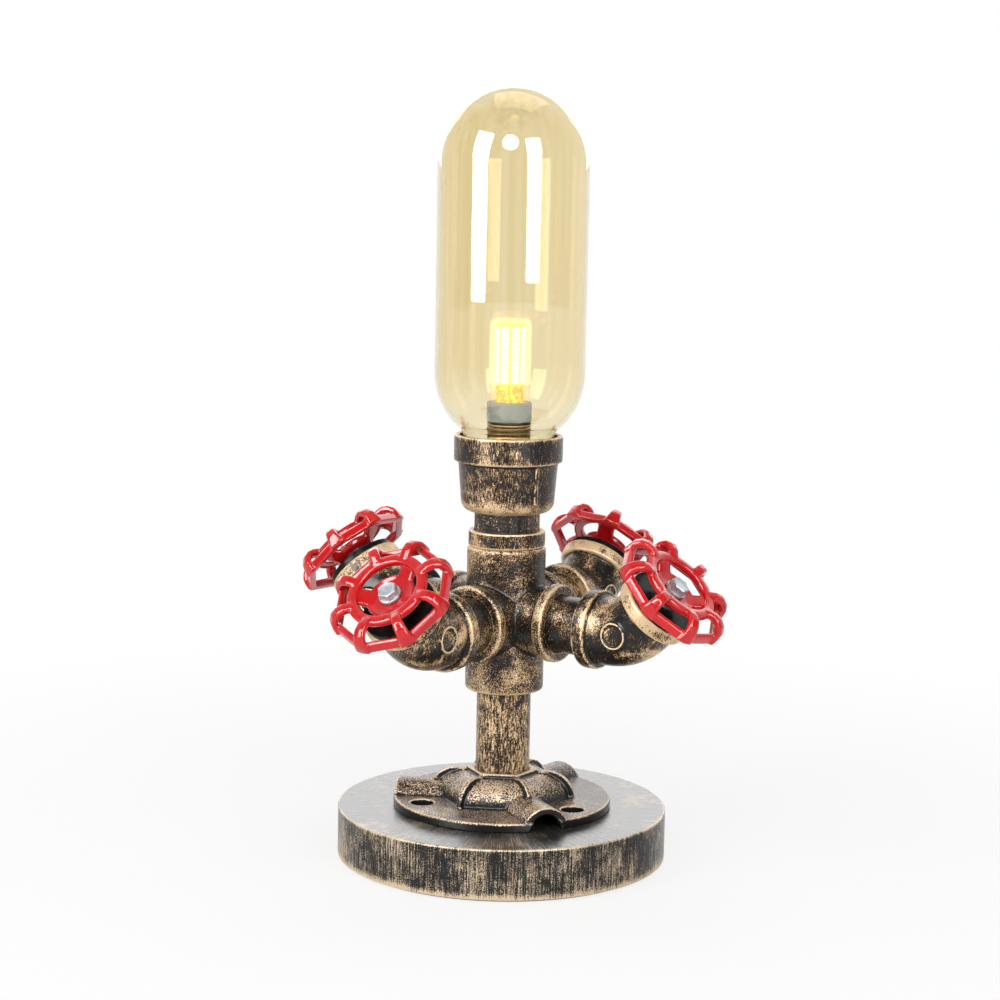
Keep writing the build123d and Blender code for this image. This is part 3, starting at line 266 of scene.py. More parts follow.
def rubbed_bronze(
    name, place_of, tones=BRONZE_TONES, gloss=0.24, shine=0.22, depth=0.10 * MM, mirror=1.37, **amounts
):
    """Black fitting with gold rubbed on. An amount is a number, or a function of the place.

    Gloss is the black's roughness, shine how metallic the gold is, and mirror the index of refraction.
    """
    material, tree, surface, place = new_material(name)
    brushed, worn = place_of(tree, place)
    rubbed = shader(tree, "Group", node_tree=RUBBED)
    for socket, value in {"Place": place, "Brushed": brushed, "Worn": worn, **amounts}.items():
        made = value(tree, place) if callable(value) else value
        connect(tree, rubbed.inputs[socket.replace("_", " ")], made)
    gold = rubbed.outputs["Gold"]
    colour = shader(tree, "ValToRGB", {"Fac": gold})
    steps = colour.color_ramp.elements
    while len(steps) < len(tones):
        steps.new(1.0)
    for step, (position, tone) in zip(steps, tones):
        step.position = position
        step.color = tone
    finish_with(
        tree, surface,
        Base_Color=colour.outputs["Color"],
        Metallic=number(tree, "MULTIPLY", gold, shine),
        Roughness=line(tree, gold, 0.22, gloss),
        Normal=bump(tree, rubbed.outputs["Height"], depth), IOR=mirror,
    )
    return material


def thicker_towards(level, more_at, less_at, more):
    """Amount of gold that grows from a plain level as the height nears more_at."""

    def amount(tree, place):
        near = ramp(tree, axis_of(tree, place, "Z"), less_at, more_at)
        return line(tree, near, more, level)

    return amount


def brushed_along(stretch, turn=(0.0, 0.0, 0.0)):
    """Brush strokes drawn out along turned axes, with the wear read from the piece."""

    def place_of(tree, place):
        worn = shader(tree, "Attribute", attribute_name="worn").outputs["Fac"]
        return stretched(tree, place, stretch, turn), worn

    return place_of


# %% [markdown]
# ## Castings
# A sand casting has rounded edges and a soft hollow where two shapes meet. A bevel on every edge of
# the CAD solid would fail where a dozen curves cross. Remeshing it into small even squares and then
# relaxing them rounds ridges and fills corners in one step, the way molten iron does. The same even
# mesh then tells how sharply each point bends, and that becomes the worn attribute.

# %% Pieces from CAD solids
RIDGE_RADIUS = 1.6 * MM
PIT_SIZE = 1.4 * MM
# painted top light and shade: ridges turned up keep gold as a painted highlight of light from above, and walls
# lose gold as painted shade; how soon a face counts as turned up, and how much walls lose
FACES_UP = 1.6
WALL_PAINTED_SHADE = 0.5


def linked(name, mesh):
    """New object for a mesh, in the scene."""
    piece = bpy.data.objects.new(name, mesh)
    bpy.context.scene.collection.objects.link(piece)
    return piece


def mesh_from(bm, name):
    """Mesh from a bmesh, smooth shaded."""
    mesh = bpy.data.meshes.new(name)
    bm.to_mesh(mesh)
    bm.free()
    mesh.shade_smooth()
    return mesh


def applied(piece):
    """Replace a piece's mesh by what its modifiers make of it."""
    graph = bpy.context.evaluated_depsgraph_get()
    mesh = bpy.data.meshes.new_from_object(piece.evaluated_get(graph))
    piece.modifiers.clear()
    old = piece.data
    piece.data = mesh
    bpy.data.meshes.remove(old)
    mesh.name = piece.name
    mesh.shade_smooth()
    return piece


def remeshed(piece, voxel, rounds, pits=0.0):
    """Even out a piece's mesh, relax it, and give it the shallow pits of cast iron."""
    remesh = piece.modifiers.new("even", "REMESH")
    remesh.mode = "VOXEL"
    remesh.voxel_size = voxel
    relax = piece.modifiers.new("relax", "SMOOTH")
    relax.factor = 0.5
    relax.iterations = rounds
    if pits:
        texture = bpy.data.textures.new("pits", "CLOUDS")
        texture.noise_scale = PIT_SIZE
        texture.noise_depth = 2
        rough = piece.modifiers.new("pits", "DISPLACE")
        rough.texture = texture
        rough.texture_coords = "LOCAL"
        rough.strength = pits
        rough.mid_level = 0.5
    return applied(piece)


def numbers_of(items, name, width, kind=float):
    """One attribute of many mesh elements as a table."""
    values = np.empty(len(items) * width, kind)
    items.foreach_get(name, values)
    return values.reshape(-1, width)


def mark_wear_and_top_light(mesh, spread=1, painted_top_light=0.0):
    """Write the worn attribute: 1 on ridges, 0 in hollows and 0.5 where a surface is flat.

    With the top-light amount at 1, only ridges that face up get gold, a painted highlight of light from above, and
    walls are darkened, a painted shade.
    """
    points = numbers_of(mesh.vertices, "co", 3)
    normals = numbers_of(mesh.vertices, "normal", 3)
    ends = numbers_of(mesh.edges, "vertices", 2, int)
    first, second = ends[:, 0], ends[:, 1]
    steps = points[second] - points[first]
    lengths = np.maximum((steps**2).sum(1), 1e-12)
    fall_first = -(normals[first] * steps).sum(1) / lengths * 2
    fall_second = (normals[second] * steps).sum(1) / lengths * 2
    size = len(points)
    count = np.bincount(first, minlength=size) + np.bincount(second, minlength=size)
    bend = (np.bincount(first, fall_first, size) + np.bincount(second, fall_second, size)) / count
    for _ in range(spread):
        around = np.bincount(first, bend[second], size) + np.bincount(second, bend[first], size)
        bend = (bend + around / count) / 2
    # painted top light: ridges turned up keep gold as a painted highlight, and sideways walls are darkened as
    # painted shade
    top_lit = 1 - painted_top_light * (1 - np.clip(normals[:, 2] * FACES_UP, 0, 1))
    bend = np.where(bend > 0, bend * top_lit, bend)
    worn = np.clip(0.5 + bend * RIDGE_RADIUS / 2 - WALL_PAINTED_SHADE * (1 - top_lit), 0, 1)
    attribute = mesh.attributes.new("worn", "FLOAT", "POINT")
    attribute.data.foreach_set("value", worn.astype(np.float32))


def casting(name, node, voxel, rounds, material, pits=0.06 * MM, painted_top_light=0.0):
    """A cast fitting made again from its CAD solid, softer."""
    bm = bmesh.new()
    bm.from_mesh(NODES[node].data)
    bmesh.ops.remove_doubles(bm, verts=bm.verts, dist=0.001 * MM)
    piece = linked(name, mesh_from(bm, name))
    remeshed(piece, voxel, rounds, pits)
    mark_wear_and_top_light(piece.data, painted_top_light=painted_top_light)
    piece.data.materials.append(material)
    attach(piece, "root")
    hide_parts(node)
    print(name, "faces", len(piece.data.polygons))
    return piece


CROSS_LOW, CROSS_HIGH = (corner.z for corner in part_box("cross"))
CUP_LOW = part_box("cup")[0].z
FLANGE_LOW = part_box("flange")[0].z
WHEEL_CENTRE = Vector(JOINTS["wheel_front_right_spin"]["pos_m"])
WHEEL_TO_BEAD = 10.2 * MM
BEAD_WIDTH = 6.4 * MM
BEAD_FADE = 0.6 * MM
# the elbows' mouths, measured from the origin along a wheel's axis, which climbs at 45 degrees
BEAD_FACE = (WHEEL_CENTRE.xy.length + WHEEL_CENTRE.z) * math.sqrt(0.5) - WHEEL_TO_BEAD

# gold over the cross's middle, and what its lower collar, lower rim and upper collar add to that
CROSS_COVER = 0.37
CROSS_MORE = (
    (CROSS_LOW + 20 * MM, CROSS_LOW + 3 * MM, 0.19),
    (CROSS_LOW + 1.6 * MM, CROSS_LOW + 0.7 * MM, 0.22),
    (CROSS_HIGH - 18 * MM, CROSS_HIGH - 9 * MM, 0.09),
)
ELBOW_COVER, BEAD_COVER = 0.41, 0.42


def cross_cover(tree, place):
    """Most gold on the cross's lower collar and its rim, least at the middle."""
    height = axis_of(tree, place, "Z")
    total = CROSS_COVER
    for none_at, all_at, more in CROSS_MORE:
        total = line(tree, ramp(tree, height, none_at, all_at), more, total)
    return total


def elbow_cover(tree, place):
    """Thin gold along an elbow, and thick on the bead under its cap."""
    _, radius = from_stem(tree, place)
    along = number(tree, "ADD", radius, axis_of(tree, place, "Z"))
    along = number(tree, "MULTIPLY", along, math.sqrt(0.5))
    start = BEAD_FACE - BEAD_WIDTH
    bead = ramp(tree, along, start - BEAD_FADE, start + BEAD_FADE)
    return line(tree, bead, BEAD_COVER, ELBOW_COVER)


# the cross's strong edge gold is partly rubbed gold and partly a painted highlight along its collar edges
cross_material = rubbed_bronze(
    "cross_bronzed", brushed_along((1.0, 1.0, 4.0), (0.5, 0.2, 0.0)), depth=0.16 * MM,
    Cover=cross_cover, Edge=2.2, Streak=1.1, Grain=1.9, Patch=1.5, Grain_Scale=2000.0,
)
elbow_material = rubbed_bronze(
    "elbow_bronzed", brushed_along((0.8, 0.8, 5.0), (0.5, 0.3, 0.0)), depth=0.12 * MM,
    Cover=elbow_cover, Edge=2.0, Streak=1.9, Grain=1.2, Patch=2.4, Grain_Scale=1900.0,
)
flange_material = rubbed_bronze(
    "flange_bronzed", brushed_along((1.0, 1.0, 1.0)), tones=RUSTY_TONES, depth=0.16 * MM,
    Cover=thicker_towards(0.44, FLANGE_LOW + 12 * MM, FLANGE_LOW + 5 * MM, 0.18),
    Edge=2.4, Streak=0.5, Grain=2.8, Patch=1.0, Grain_Scale=1700.0,
)
cup_material = rubbed_bronze(
    "cup_bronzed", brushed_along((0.7, 0.7, 4.0)), depth=0.12 * MM,
    Cover=thicker_towards(0.38, CUP_LOW + 3 * MM, CUP_LOW + 8 * MM, 0.40),
    Edge=2.1, Streak=2.2, Grain=1.2, Patch=1.3, Grain_Scale=2100.0,
)
ring_material = rubbed_bronze(
    "ring_bronzed", brushed_along((0.7, 0.7, 3.0)), depth=0.12 * MM,
    Cover=0.50, Edge=2.1, Streak=1.7, Grain=1.5, Patch=1.3, Grain_Scale=2100.0,
)

casting("cast_cross", "cross", 0.6 * MM, 12, cross_material)
# the flange gets painted top light: gold on ridges turned up is a painted highlight, and its darker walls are
# painted shade
casting("cast_flange", "flange", 0.5 * MM, 5, flange_material, painted_top_light=1.0)
casting("cast_cup", "cup", 0.5 * MM, 5, cup_material)
casting("cast_ring", "lock_ring", 0.4 * MM, 4, ring_material)
for place in PLACES:
    casting(f"cast_elbow_{place}", f"elbow_{place}", 0.5 * MM, 6, elbow_material)

# %% [markdown]
# ## Pipes
# The stem and the nipples are plain pipe, so their CAD solids are kept as they are. Only the finish
# differs: on the stem the brush ran up and down, which leaves long broken streaks.


# %% Pipe finishes
def brushed_pipe(tree, place):
    """Strokes along the pipe, with no ridges to wear."""
    return stretched(tree, place, (1.0, 1.0, 5.0)), noise(tree, place, 120.0, 2.0)


stem_material = rubbed_bronze(
    "stem_bronzed", brushed_pipe, depth=0.12 * MM,
    Cover=0.60, Edge=0.3, Streak=2.3, Grain=1.3, Patch=1.1, Grain_Scale=1700.0,
)
nipple_material = rubbed_bronze(
    "nipple_dark", brushed_pipe, depth=0.06 * MM,
    Cover=0.32, Edge=0.3, Streak=1.0, Grain=1.8, Patch=1.2, Grain_Scale=1900.0,
)


def coat(node, material):
    """Give a CAD node one material."""
    mesh = NODES[node].data
    mesh.materials.clear()
    mesh.materials.append(material)


coat("stem_pipe", stem_material)
for place in PLACES:
    coat(f"arm_pipe_{place}", nipple_material)

# %% [markdown]
# ## Base
# The base is a heavy disc, painted black and brushed with dull gold: down the side in short vertical
# strokes, out from the middle on top, and thickest along both edges. The CAD disc has no points near
# its edges to carry an attribute, so its material works out where the edges are from the place.

# %% Base finish
BASE_LOW, BASE_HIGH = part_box("base_disc")
BASE_RADIUS = BASE_HIGH.x
STROKE_LENGTH = 22.0
STROKE_FINENESS = 1.7
# depths under the disc's side and faces where the gold of its rims begins, and where it is full
RIM_START, RIM_END = 1.6 * MM, 0.4 * MM
UPPER_START, UPPER_END = 1.6 * MM, 0.2 * MM
LOWER_START = 5.5 * MM
# depths under the top where top turns into side
SIDE_START, SIDE_END = 0.2 * MM, 0.9 * MM
TOP_COVER, SIDE_COVER = 0.34, 0.10
TOP_COAT = 0.6
BASE_TONES = (
    (0.00, (0.018, 0.018, 0.018, 1.0)),
    (0.24, (0.050, 0.046, 0.042, 1.0)),
    (0.44, (0.135, 0.112, 0.086, 1.0)),
    (0.62, (0.310, 0.240, 0.165, 1.0)),
    (0.88, (0.690, 0.545, 0.370, 1.0)),
)


def base_edges(tree, place):
    """1 at the disc's two rims, falling to 0.5 on its faces."""
    height = axis_of(tree, place, "Z")
    _, radius = from_stem(tree, place)
    outer = ramp(tree, radius, BASE_RADIUS - RIM_START, BASE_RADIUS - RIM_END)
    upper = ramp(tree, height, BASE_HIGH.z - UPPER_START, BASE_HIGH.z - UPPER_END)
    lower = ramp(tree, height, BASE_LOW.z + LOWER_START, BASE_LOW.z)
    rim = number(tree, "MULTIPLY", outer, number(tree, "MAXIMUM", upper, lower))
    return line(tree, rim, 0.5, 0.5)


def base_strokes(tree, place):
    """Strokes down the side and out from the middle on top, with the rims worn."""
    level, radius = from_stem(tree, place)
    outwards = shader(tree, "VectorMath", {0: level}, operation="NORMALIZE").outputs["Vector"]
    fine = BASE_RADIUS * STROKE_FINENESS
    spread = shader(tree, "VectorMath", {0: outwards, 1: (fine, fine, fine)}, operation="MULTIPLY")
    run = number(tree, "SUBTRACT", radius, axis_of(tree, place, "Z"))
    run = number(tree, "MULTIPLY", run, 1 / STROKE_LENGTH)
    lift = shader(tree, "CombineXYZ", {"Z": run}).outputs["Vector"]
    strokes = shader(tree, "VectorMath", {0: spread.outputs["Vector"], 1: lift}, operation="ADD")
    return strokes.outputs["Vector"], base_edges(tree, place)


def on_side(tree, place):
    """0 on the base's top and 1 on its side."""
    depth = number(tree, "SUBTRACT", BASE_HIGH.z, axis_of(tree, place, "Z"))
    return ramp(tree, depth, SIDE_START, SIDE_END)


def base_cover(tree, place):
    """More gold down the side than on top."""
    return line(tree, on_side(tree, place), SIDE_COVER, TOP_COVER)


base_material = rubbed_bronze(
    "base_brushed", base_strokes, tones=BASE_TONES, gloss=0.22, shine=0.15, depth=0.05 * MM,
    mirror=1.25, Cover=base_cover, Edge=1.3, Streak=2.3, Grain=1.5, Patch=1.3, Grain_Scale=2000.0,
)
base_tree = base_material.node_tree
base_side = on_side(base_tree, shader(base_tree, "TexCoord").outputs["Object"])
finish_with(
    base_tree, base_tree.nodes["Principled BSDF"], Coat_IOR=1.55, Coat_Roughness=0.30,
    Coat_Weight=line(base_tree, base_side, -TOP_COAT, TOP_COAT),
)
coat("base_disc", base_material)

# %% [markdown]
# ## Handwheels
# Each handwheel is one casting under thick red enamel: an eight-sided rim, eight arched posts that
# rise from a raised inner ring and come down on the rim's corners, and a dished web with three
# openings round the hub. No single operator makes that. It is laid out as overlapping solid bars,
# rings and plates, which a fine remesh fuses and the relaxing rounds like enamel.

# %% Handwheel pattern, in millimetres about its own axis
WHEEL_SIDES = 8
WHEEL_SPOKES = 3
SPOKE_PHASE = 78.9
WHEEL_PHASES = {"front_right": 235.7, "back_right": 30.0, "back_left": 25.0, "front_left": -2.2}
RING_MIDDLE = 16.35
RING_HALF = (2.35, 1.85)
RING_LEVEL = 3.65
SQUARENESS = 0.55
# corners of a closed section: radius, height
RIM_SECTION = ((28.8, -3.9), (28.2, -0.2), (26.7, 0.8), (24.9, -0.4), (25.0, -3.9))
HUB_SECTION = (
    (3.5, -3.9), (8.9, -3.9), (10.6, -2.4), (11.4, -0.6),
    (10.6, 0.6), (9.0, 0.0), (7.6, -0.3), (3.5, -0.3),
)
# sections along a bar: radius, height, slope in degrees, half width, half depth
POST_STATIONS = (
    (15.6, 3.4, 70.0, 2.2, 1.8), (17.4, 4.6, 38.0, 2.3, 1.8), (20.0, 5.4, 7.0, 2.4, 1.75),
    (23.0, 5.3, -12.0, 2.45, 1.75), (25.2, 4.0, -40.0, 2.6, 1.7), (26.8, 1.7, -66.0, 2.9, 1.65),
    (27.2, -0.8, -80.0, 3.4, 1.6), (27.3, -3.3, -90.0, 3.9, 1.5),
)
SPOKE_STATIONS = (
    (7.0, -2.0, 6.0, 5.2, 1.7), (10.5, -0.7, 22.0, 4.3, 1.5),
    (13.2, 1.2, 32.0, 4.2, 1.4), (16.0, 3.0, 30.0, 5.2, 1.4),
)
BAR_CORNERS = 16
WHEEL_VOXEL = 0.40 * MM
WHEEL_ROUNDS = 7
RING_STEPS, HUB_STEPS = 96, 72


def squared(angle):
    """Point of a rounded square of half width 1, at an angle."""
    across, up = math.cos(angle), math.sin(angle)
    return (
        math.copysign(abs(across) ** SQUARENESS, across),
        math.copysign(abs(up) ** SQUARENESS, up),
    )


def turned(bm, section, steps):
    """Solid ring turned from a closed section of (radius, height) points."""
    corners = [bm.verts.new((radius, 0, height)) for radius, height in section]
    face = bm.faces.new(corners)
    bmesh.ops.spin(
        bm, geom=[face, *face.edges, *face.verts], cent=(0, 0, 0), axis=(0, 0, 1),
        angle=math.tau, steps=steps, use_merge=True,
    )
    inside = [f for f in bm.faces if all(abs(v.co.y) < 1e-7 and v.co.x > 0 for v in f.verts)]
    bmesh.ops.delete(bm, geom=inside, context="FACES_ONLY")


def lofted(bm, stations, azimuth):
    """Solid bar through rounded square sections, turned to an azimuth."""
    spin = Matrix.Rotation(math.radians(azimuth), 4, "Z")
    rings = []
    for radius, height, slope, half_width, half_depth in stations:
        place = (
            spin @ Matrix.Translation((radius, 0, height))
            @ Matrix.Rotation(math.radians(-slope), 4, "Y")
            @ Matrix.Rotation(math.radians(90), 4, "Y")
            @ Matrix.Diagonal((half_depth, half_width, 1, 1))
        )
        made = bmesh.ops.create_circle(bm, cap_ends=False, radius=1.0, segments=BAR_CORNERS)["verts"]
        for vert in made:
            vert.co.xy = squared(math.atan2(vert.co.y, vert.co.x))
        bmesh.ops.transform(bm, matrix=place, verts=made)
        rings.append(made)
    for lower, upper in zip(rings, rings[1:]):
        edges = {e for v in (*lower, *upper) for e in v.link_edges if e.other_vert(v) in lower + upper}
        loop_edges = [e for e in edges if (e.verts[0] in lower) == (e.verts[1] in lower)]
        bmesh.ops.bridge_loops(bm, edges=loop_edges)
    for ring in (rings[0], rings[-1]):
        bmesh.ops.contextual_create(bm, geom=ring)


def joined(bm, part):
    """Add one bmesh to another, and free it."""
    scratch = bpy.data.meshes.new("scratch")
    part.to_mesh(scratch)
    part.free()
    bm.from_mesh(scratch)
    bpy.data.meshes.remove(scratch)


def wheel_pattern():
    """The handwheel casting about its own axis, in metres."""
    bm = bmesh.new()
    ring = []
    for step in range(BAR_CORNERS):
        across, up = squared(math.tau * (step + 0.5) / BAR_CORNERS)
        ring.append((RING_MIDDLE + RING_HALF[0] * across, RING_LEVEL + RING_HALF[1] * up))
    parts = []
    for section, steps in ((ring, RING_STEPS), (RIM_SECTION, WHEEL_SIDES), (HUB_SECTION, HUB_STEPS)):
        part = bmesh.new()
        turned(part, section, steps)
        parts.append(part)
    bars = [(POST_STATIONS, turn * 360 / WHEEL_SIDES) for turn in range(WHEEL_SIDES)]
    for turn in range(WHEEL_SPOKES):
        bars.append((SPOKE_STATIONS, SPOKE_PHASE + turn * 360 / WHEEL_SPOKES))
    for stations, azimuth in bars:
        part = bmesh.new()
        lofted(part, stations, azimuth)
        parts.append(part)
    for part in parts:
        bmesh.ops.recalc_face_normals(part, faces=part.faces)
        joined(bm, part)
    bmesh.ops.scale(bm, vec=(MM, MM, MM), verts=bm.verts)
    return mesh_from(bm, "wheel_pattern")


# %% [markdown]
# ## Nipple under the coupling
# The short pipe under the coupling is almost black, and its worn thread shows as faint rings. A real
# helix could be swept, but it would cost many faces for one dark band. Turning a wavy section gives
# shallow rings that look the same from where the lamp is seen.

# %% Threaded nipple
NIPPLE_LOW, NIPPLE_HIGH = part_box("top_nipple")
NIPPLE_WALL = 3.6 * MM
THREAD_PITCH = 1.8 * MM
THREAD_DEPTH = 0.06 * MM
THREAD_STEPS = 8
NIPPLE_STEPS = 128


def threaded_nipple():
    """The dark nipple under the cup, with its worn thread as shallow rings."""
    radius = NIPPLE_HIGH.x
    count = round((NIPPLE_HIGH.z - NIPPLE_LOW.z) / THREAD_PITCH * THREAD_STEPS)
    section = [(radius - NIPPLE_WALL, NIPPLE_LOW.z)]
    for step in range(count + 1):
        dip = THREAD_DEPTH * (0.5 - 0.5 * math.cos(math.tau * step / THREAD_STEPS))
        rise = (NIPPLE_HIGH.z - NIPPLE_LOW.z) * step / count
        section.append((radius - dip, NIPPLE_LOW.z + rise))
    section.append((radius - NIPPLE_WALL, NIPPLE_HIGH.z))
    bm = bmesh.new()
    turned(bm, section, NIPPLE_STEPS)
    bmesh.ops.recalc_face_normals(bm, faces=bm.faces)
    return mesh_from(bm, "threaded_nipple")


nipple = linked("threaded_nipple", threaded_nipple())
mark_wear_and_top_light(nipple.data, spread=0)
nipple.data.materials.append(rubbed_bronze(
    "nipple_threads", brushed_along((1.0, 1.0, 0.3)), depth=0.20 * MM, gloss=0.34,
    Cover=0.32, Edge=0.5, Streak=0.8, Grain=2.4, Patch=1.6, Grain_Scale=1500.0,
))
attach(nipple, "root")
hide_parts("top_nipple")
print("nipple faces", len(nipple.data.polygons))

# %% [markdown]
# ## Wheels in place
# Four wheels come from the one pattern, each turned a little differently about its own axis, as in
# the photograph. The place and the slope of that axis come from the wheel's joint in the frame, so
# the wheels stay true to the bolts that they turn on.


# %% Enamelled wheels
def wheel_frame(place):
    """Matrix from a wheel's own axes to its place on the elbow, from its joint."""
    joint = JOINTS[f"wheel_{place}_spin"]
    along = Vector(joint["axis"])
    side = Vector((0, 0, 1)).cross(along).normalized()
    turn = Matrix((side, along.cross(side), along)).transposed().to_4x4()
    return Matrix.Translation(joint["pos_m"]) @ turn


def red_enamel():
    """Thick glossy enamel: deep red, faintly wavy, with a few specks under the gloss."""
    material, tree, surface, place = new_material("red_enamel")
    depth = noise(tree, place, 160.0, 2.0)
    specks = ramp(tree, noise(tree, place, 1500.0, 1.0), 0.70, 0.76)
    colour = blend_colours(tree, depth, (0.52, 0.006, 0.010, 1.0), (0.68, 0.012, 0.014, 1.0))
    worn = shader(tree, "Attribute", attribute_name="worn").outputs["Fac"]
    thin = ramp(tree, worn, 0.62, 0.95)
    colour = blend_colours(tree, number(tree, "MULTIPLY", thin, 0.35), colour, (0.78, 0.03, 0.03, 1.0))
    finish_with(
        tree, surface,
        Base_Color=blend_colours(tree, specks, colour, (0.20, 0.004, 0.008, 1.0)),
        Roughness=line(tree, depth, 0.10, 0.14), IOR=1.35,
        Coat_Weight=0.45, Coat_Roughness=0.02,
        Normal=bump(tree, noise(tree, place, 420.0, 1.0), 0.05 * MM),
    )
    return material


enamel = red_enamel()
pattern = linked("wheel_pattern", wheel_pattern())
remeshed(pattern, WHEEL_VOXEL, WHEEL_ROUNDS)
mark_wear_and_top_light(pattern.data, spread=2)
for place in PLACES:
    wheel = linked(f"enamel_wheel_{place}", pattern.data.copy())
    phase = Matrix.Rotation(math.radians(WHEEL_PHASES[place]), 4, "Z")
    wheel.data.transform(wheel_frame(place) @ phase)
    wheel.data.materials.append(enamel)
    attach(wheel, f"wheel_{place}")
    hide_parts(f"handwheel_{place}")
bpy.data.objects.remove(pattern)
print("wheel faces", len(wheel.data.polygons))

# %% [markdown]
# ## Plain finishes
# The small parts have everyday finishes: zinc plate, black plastic, rubber, aged brass, glazed
# ceramic. Each is one Principled shader with a little noise in its colour, roughness and height,
# because nothing real is perfectly even. One function serves them all, and only the values differ.


# %% Plain finishes
def plain(name, colour, second, metallic, roughness, scale, depth, mirror=1.5):
    """A finish of two close colours, uneven in gloss and height; the depth is in millimetres."""
    material, tree, surface, place = new_material(name)
    pattern = noise(tree, place, scale, 4.0)
    broad = noise(tree, place, scale / 9, 2.0)
    mix = ramp(tree, line(tree, pattern, 0.6, number(tree, "MULTIPLY", broad, 0.4)), 0.35, 0.65)
    finish_with(
        tree, surface,
        Base_Color=blend_colours(tree, mix, (*colour, 1.0), (*second, 1.0)),
        Metallic=metallic,
        Roughness=line(tree, mix, 0.15, roughness), IOR=mirror,
        Normal=bump(tree, pattern, depth * MM),
    )
    return material


# colour, second colour, metallic, roughness, patches to the metre, depth, index of refraction
FINISH_VALUES = {
    "black_foam": ((0.02, 0.02, 0.02), (0.035, 0.035, 0.035), 0.0, 0.8, 1500.0, 0.15),
    "black_rubber": ((0.012, 0.012, 0.012), (0.022, 0.022, 0.022), 0.0, 0.5, 900.0, 0.03),
    "zinc_steel": ((0.52, 0.54, 0.56), (0.66, 0.68, 0.70), 0.9, 0.32, 900.0, 0.02),
    "zinc_bolt": ((0.34, 0.37, 0.39), (0.52, 0.55, 0.58), 0.60, 0.30, 1100.0, 0.05),
    "aged_brass": ((0.30, 0.20, 0.09), (0.50, 0.36, 0.17), 0.85, 0.28, 500.0, 0.02),
    "white_ceramic": ((0.62, 0.62, 0.60), (0.70, 0.70, 0.68), 0.0, 0.35, 700.0, 0.01),
    "contact_metal": ((0.60, 0.54, 0.38), (0.72, 0.66, 0.50), 0.9, 0.3, 900.0, 0.01),
    "brown_lead": ((0.10, 0.04, 0.02), (0.14, 0.06, 0.03), 0.0, 0.4, 700.0, 0.01),
    "blue_lead": ((0.03, 0.08, 0.30), (0.04, 0.11, 0.36), 0.0, 0.4, 700.0, 0.01),
    "terminal_plastic": ((0.70, 0.69, 0.66), (0.78, 0.77, 0.74), 0.0, 0.45, 900.0, 0.01),
    "black_plastic": ((0.006, 0.006, 0.006), (0.012, 0.012, 0.012), 0.0, 0.16, 1200.0, 0.02, 1.20),
}
FINISHES = {name: plain(name, *values) for name, values in FINISH_VALUES.items()}
for subpart in frame["record"]["subparts"]:
    if subpart["material_slot"] in FINISHES:
        coat(subpart["node"], FINISHES[subpart["material_slot"]])

# %% [markdown]
# ## Wheel bolts
# Each wheel is held by a hexagon-headed bolt. What tells a real bolt head from a six-sided prism is
# the chamfer that rounds its top corners, and the shallow flat disc inside it. A bevel of the top
# edges and an inset make both.

# %% Wheel bolts
HEAD_FLATS = 8.0 * MM
HEAD_HEIGHT = 3.5 * MM
HEAD_START = 1.15 * MM
BOLT_LENGTH = 25.0 * MM
BOLT_RADIUS = 2.5 * MM
BOLT_SIDES = 32
CHAMFER = 0.55 * MM
DISC_INSET, DISC_DEPTH = 0.5 * MM, -0.12 * MM
SHARP_ANGLE = 28


def add_bolt(bm, place):
    """One bolt, its head's underside on the washer and its shank running down into the elbow."""
    corner = HEAD_FLATS / math.sqrt(3)
    middle = Matrix.Translation((0, 0, HEAD_START + HEAD_HEIGHT / 2))
    head = bmesh.ops.create_cone(
        bm, cap_ends=True, segments=6, radius1=corner, radius2=corner, depth=HEAD_HEIGHT,
        matrix=middle @ Matrix.Rotation(math.radians(30), 4, "Z"),
    )
    top = max((f for v in head["verts"] for f in v.link_faces), key=lambda f: f.calc_center_median().z)
    bmesh.ops.bevel(
        bm, geom=list(top.edges), offset=CHAMFER, offset_type="OFFSET", segments=3, profile=0.5,
        affect="EDGES", material=-1,
    )
    top = max(bm.faces, key=lambda f: f.calc_center_median().z)
    bmesh.ops.inset_individual(bm, faces=[top], thickness=DISC_INSET, depth=DISC_DEPTH)
    bmesh.ops.create_cone(
        bm, cap_ends=True, segments=BOLT_SIDES, radius1=BOLT_RADIUS, radius2=BOLT_RADIUS, depth=BOLT_LENGTH,
        matrix=Matrix.Translation((0, 0, HEAD_START - BOLT_LENGTH / 2)),
    )
    bmesh.ops.transform(bm, matrix=place, verts=bm.verts[:])


bolts = bmesh.new()
for place in PLACES:
    bolt = bmesh.new()
    add_bolt(bolt, wheel_frame(place))
    joined(bolts, bolt)
bolts_piece = linked("hex_bolts", mesh_from(bolts, "hex_bolts"))
bolts_piece.data.set_sharp_from_angle(angle=math.radians(SHARP_ANGLE))
bolts_piece.data.materials.append(FINISHES["zinc_bolt"])
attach(bolts_piece, "root")
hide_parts("wheel_bolts")

# %% [markdown]
# ## Glass capsule
# The shade is blown glass, amber all through, with a wall under two millimetres. Its colour gathers
# where the line of sight runs along the wall, at the sides. A tinted surface can't do that, but a
# clear surface round an absorbing volume does, so the shell is modelled with both its faces. A
# half outline is drawn with a few vertices and turned arcs, spun, and given its wall by Solidify.

# %% Glass capsule
GLASS_LOW, GLASS_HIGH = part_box("glass_shade")
GLASS_RADIUS = GLASS_HIGH.x
GLASS_WALL = 1.8 * MM
NECK_RADIUS = 21.7 * MM
LOW_CENTRE = 225.7 * MM
GLASS_STEPS = 144
BULGE_STEPS = 14
DOME_STEPS = 28
CLEAR_TO, TINTED_FROM = 14 * MM, 42 * MM
AMBER_DENSITY = 170.0


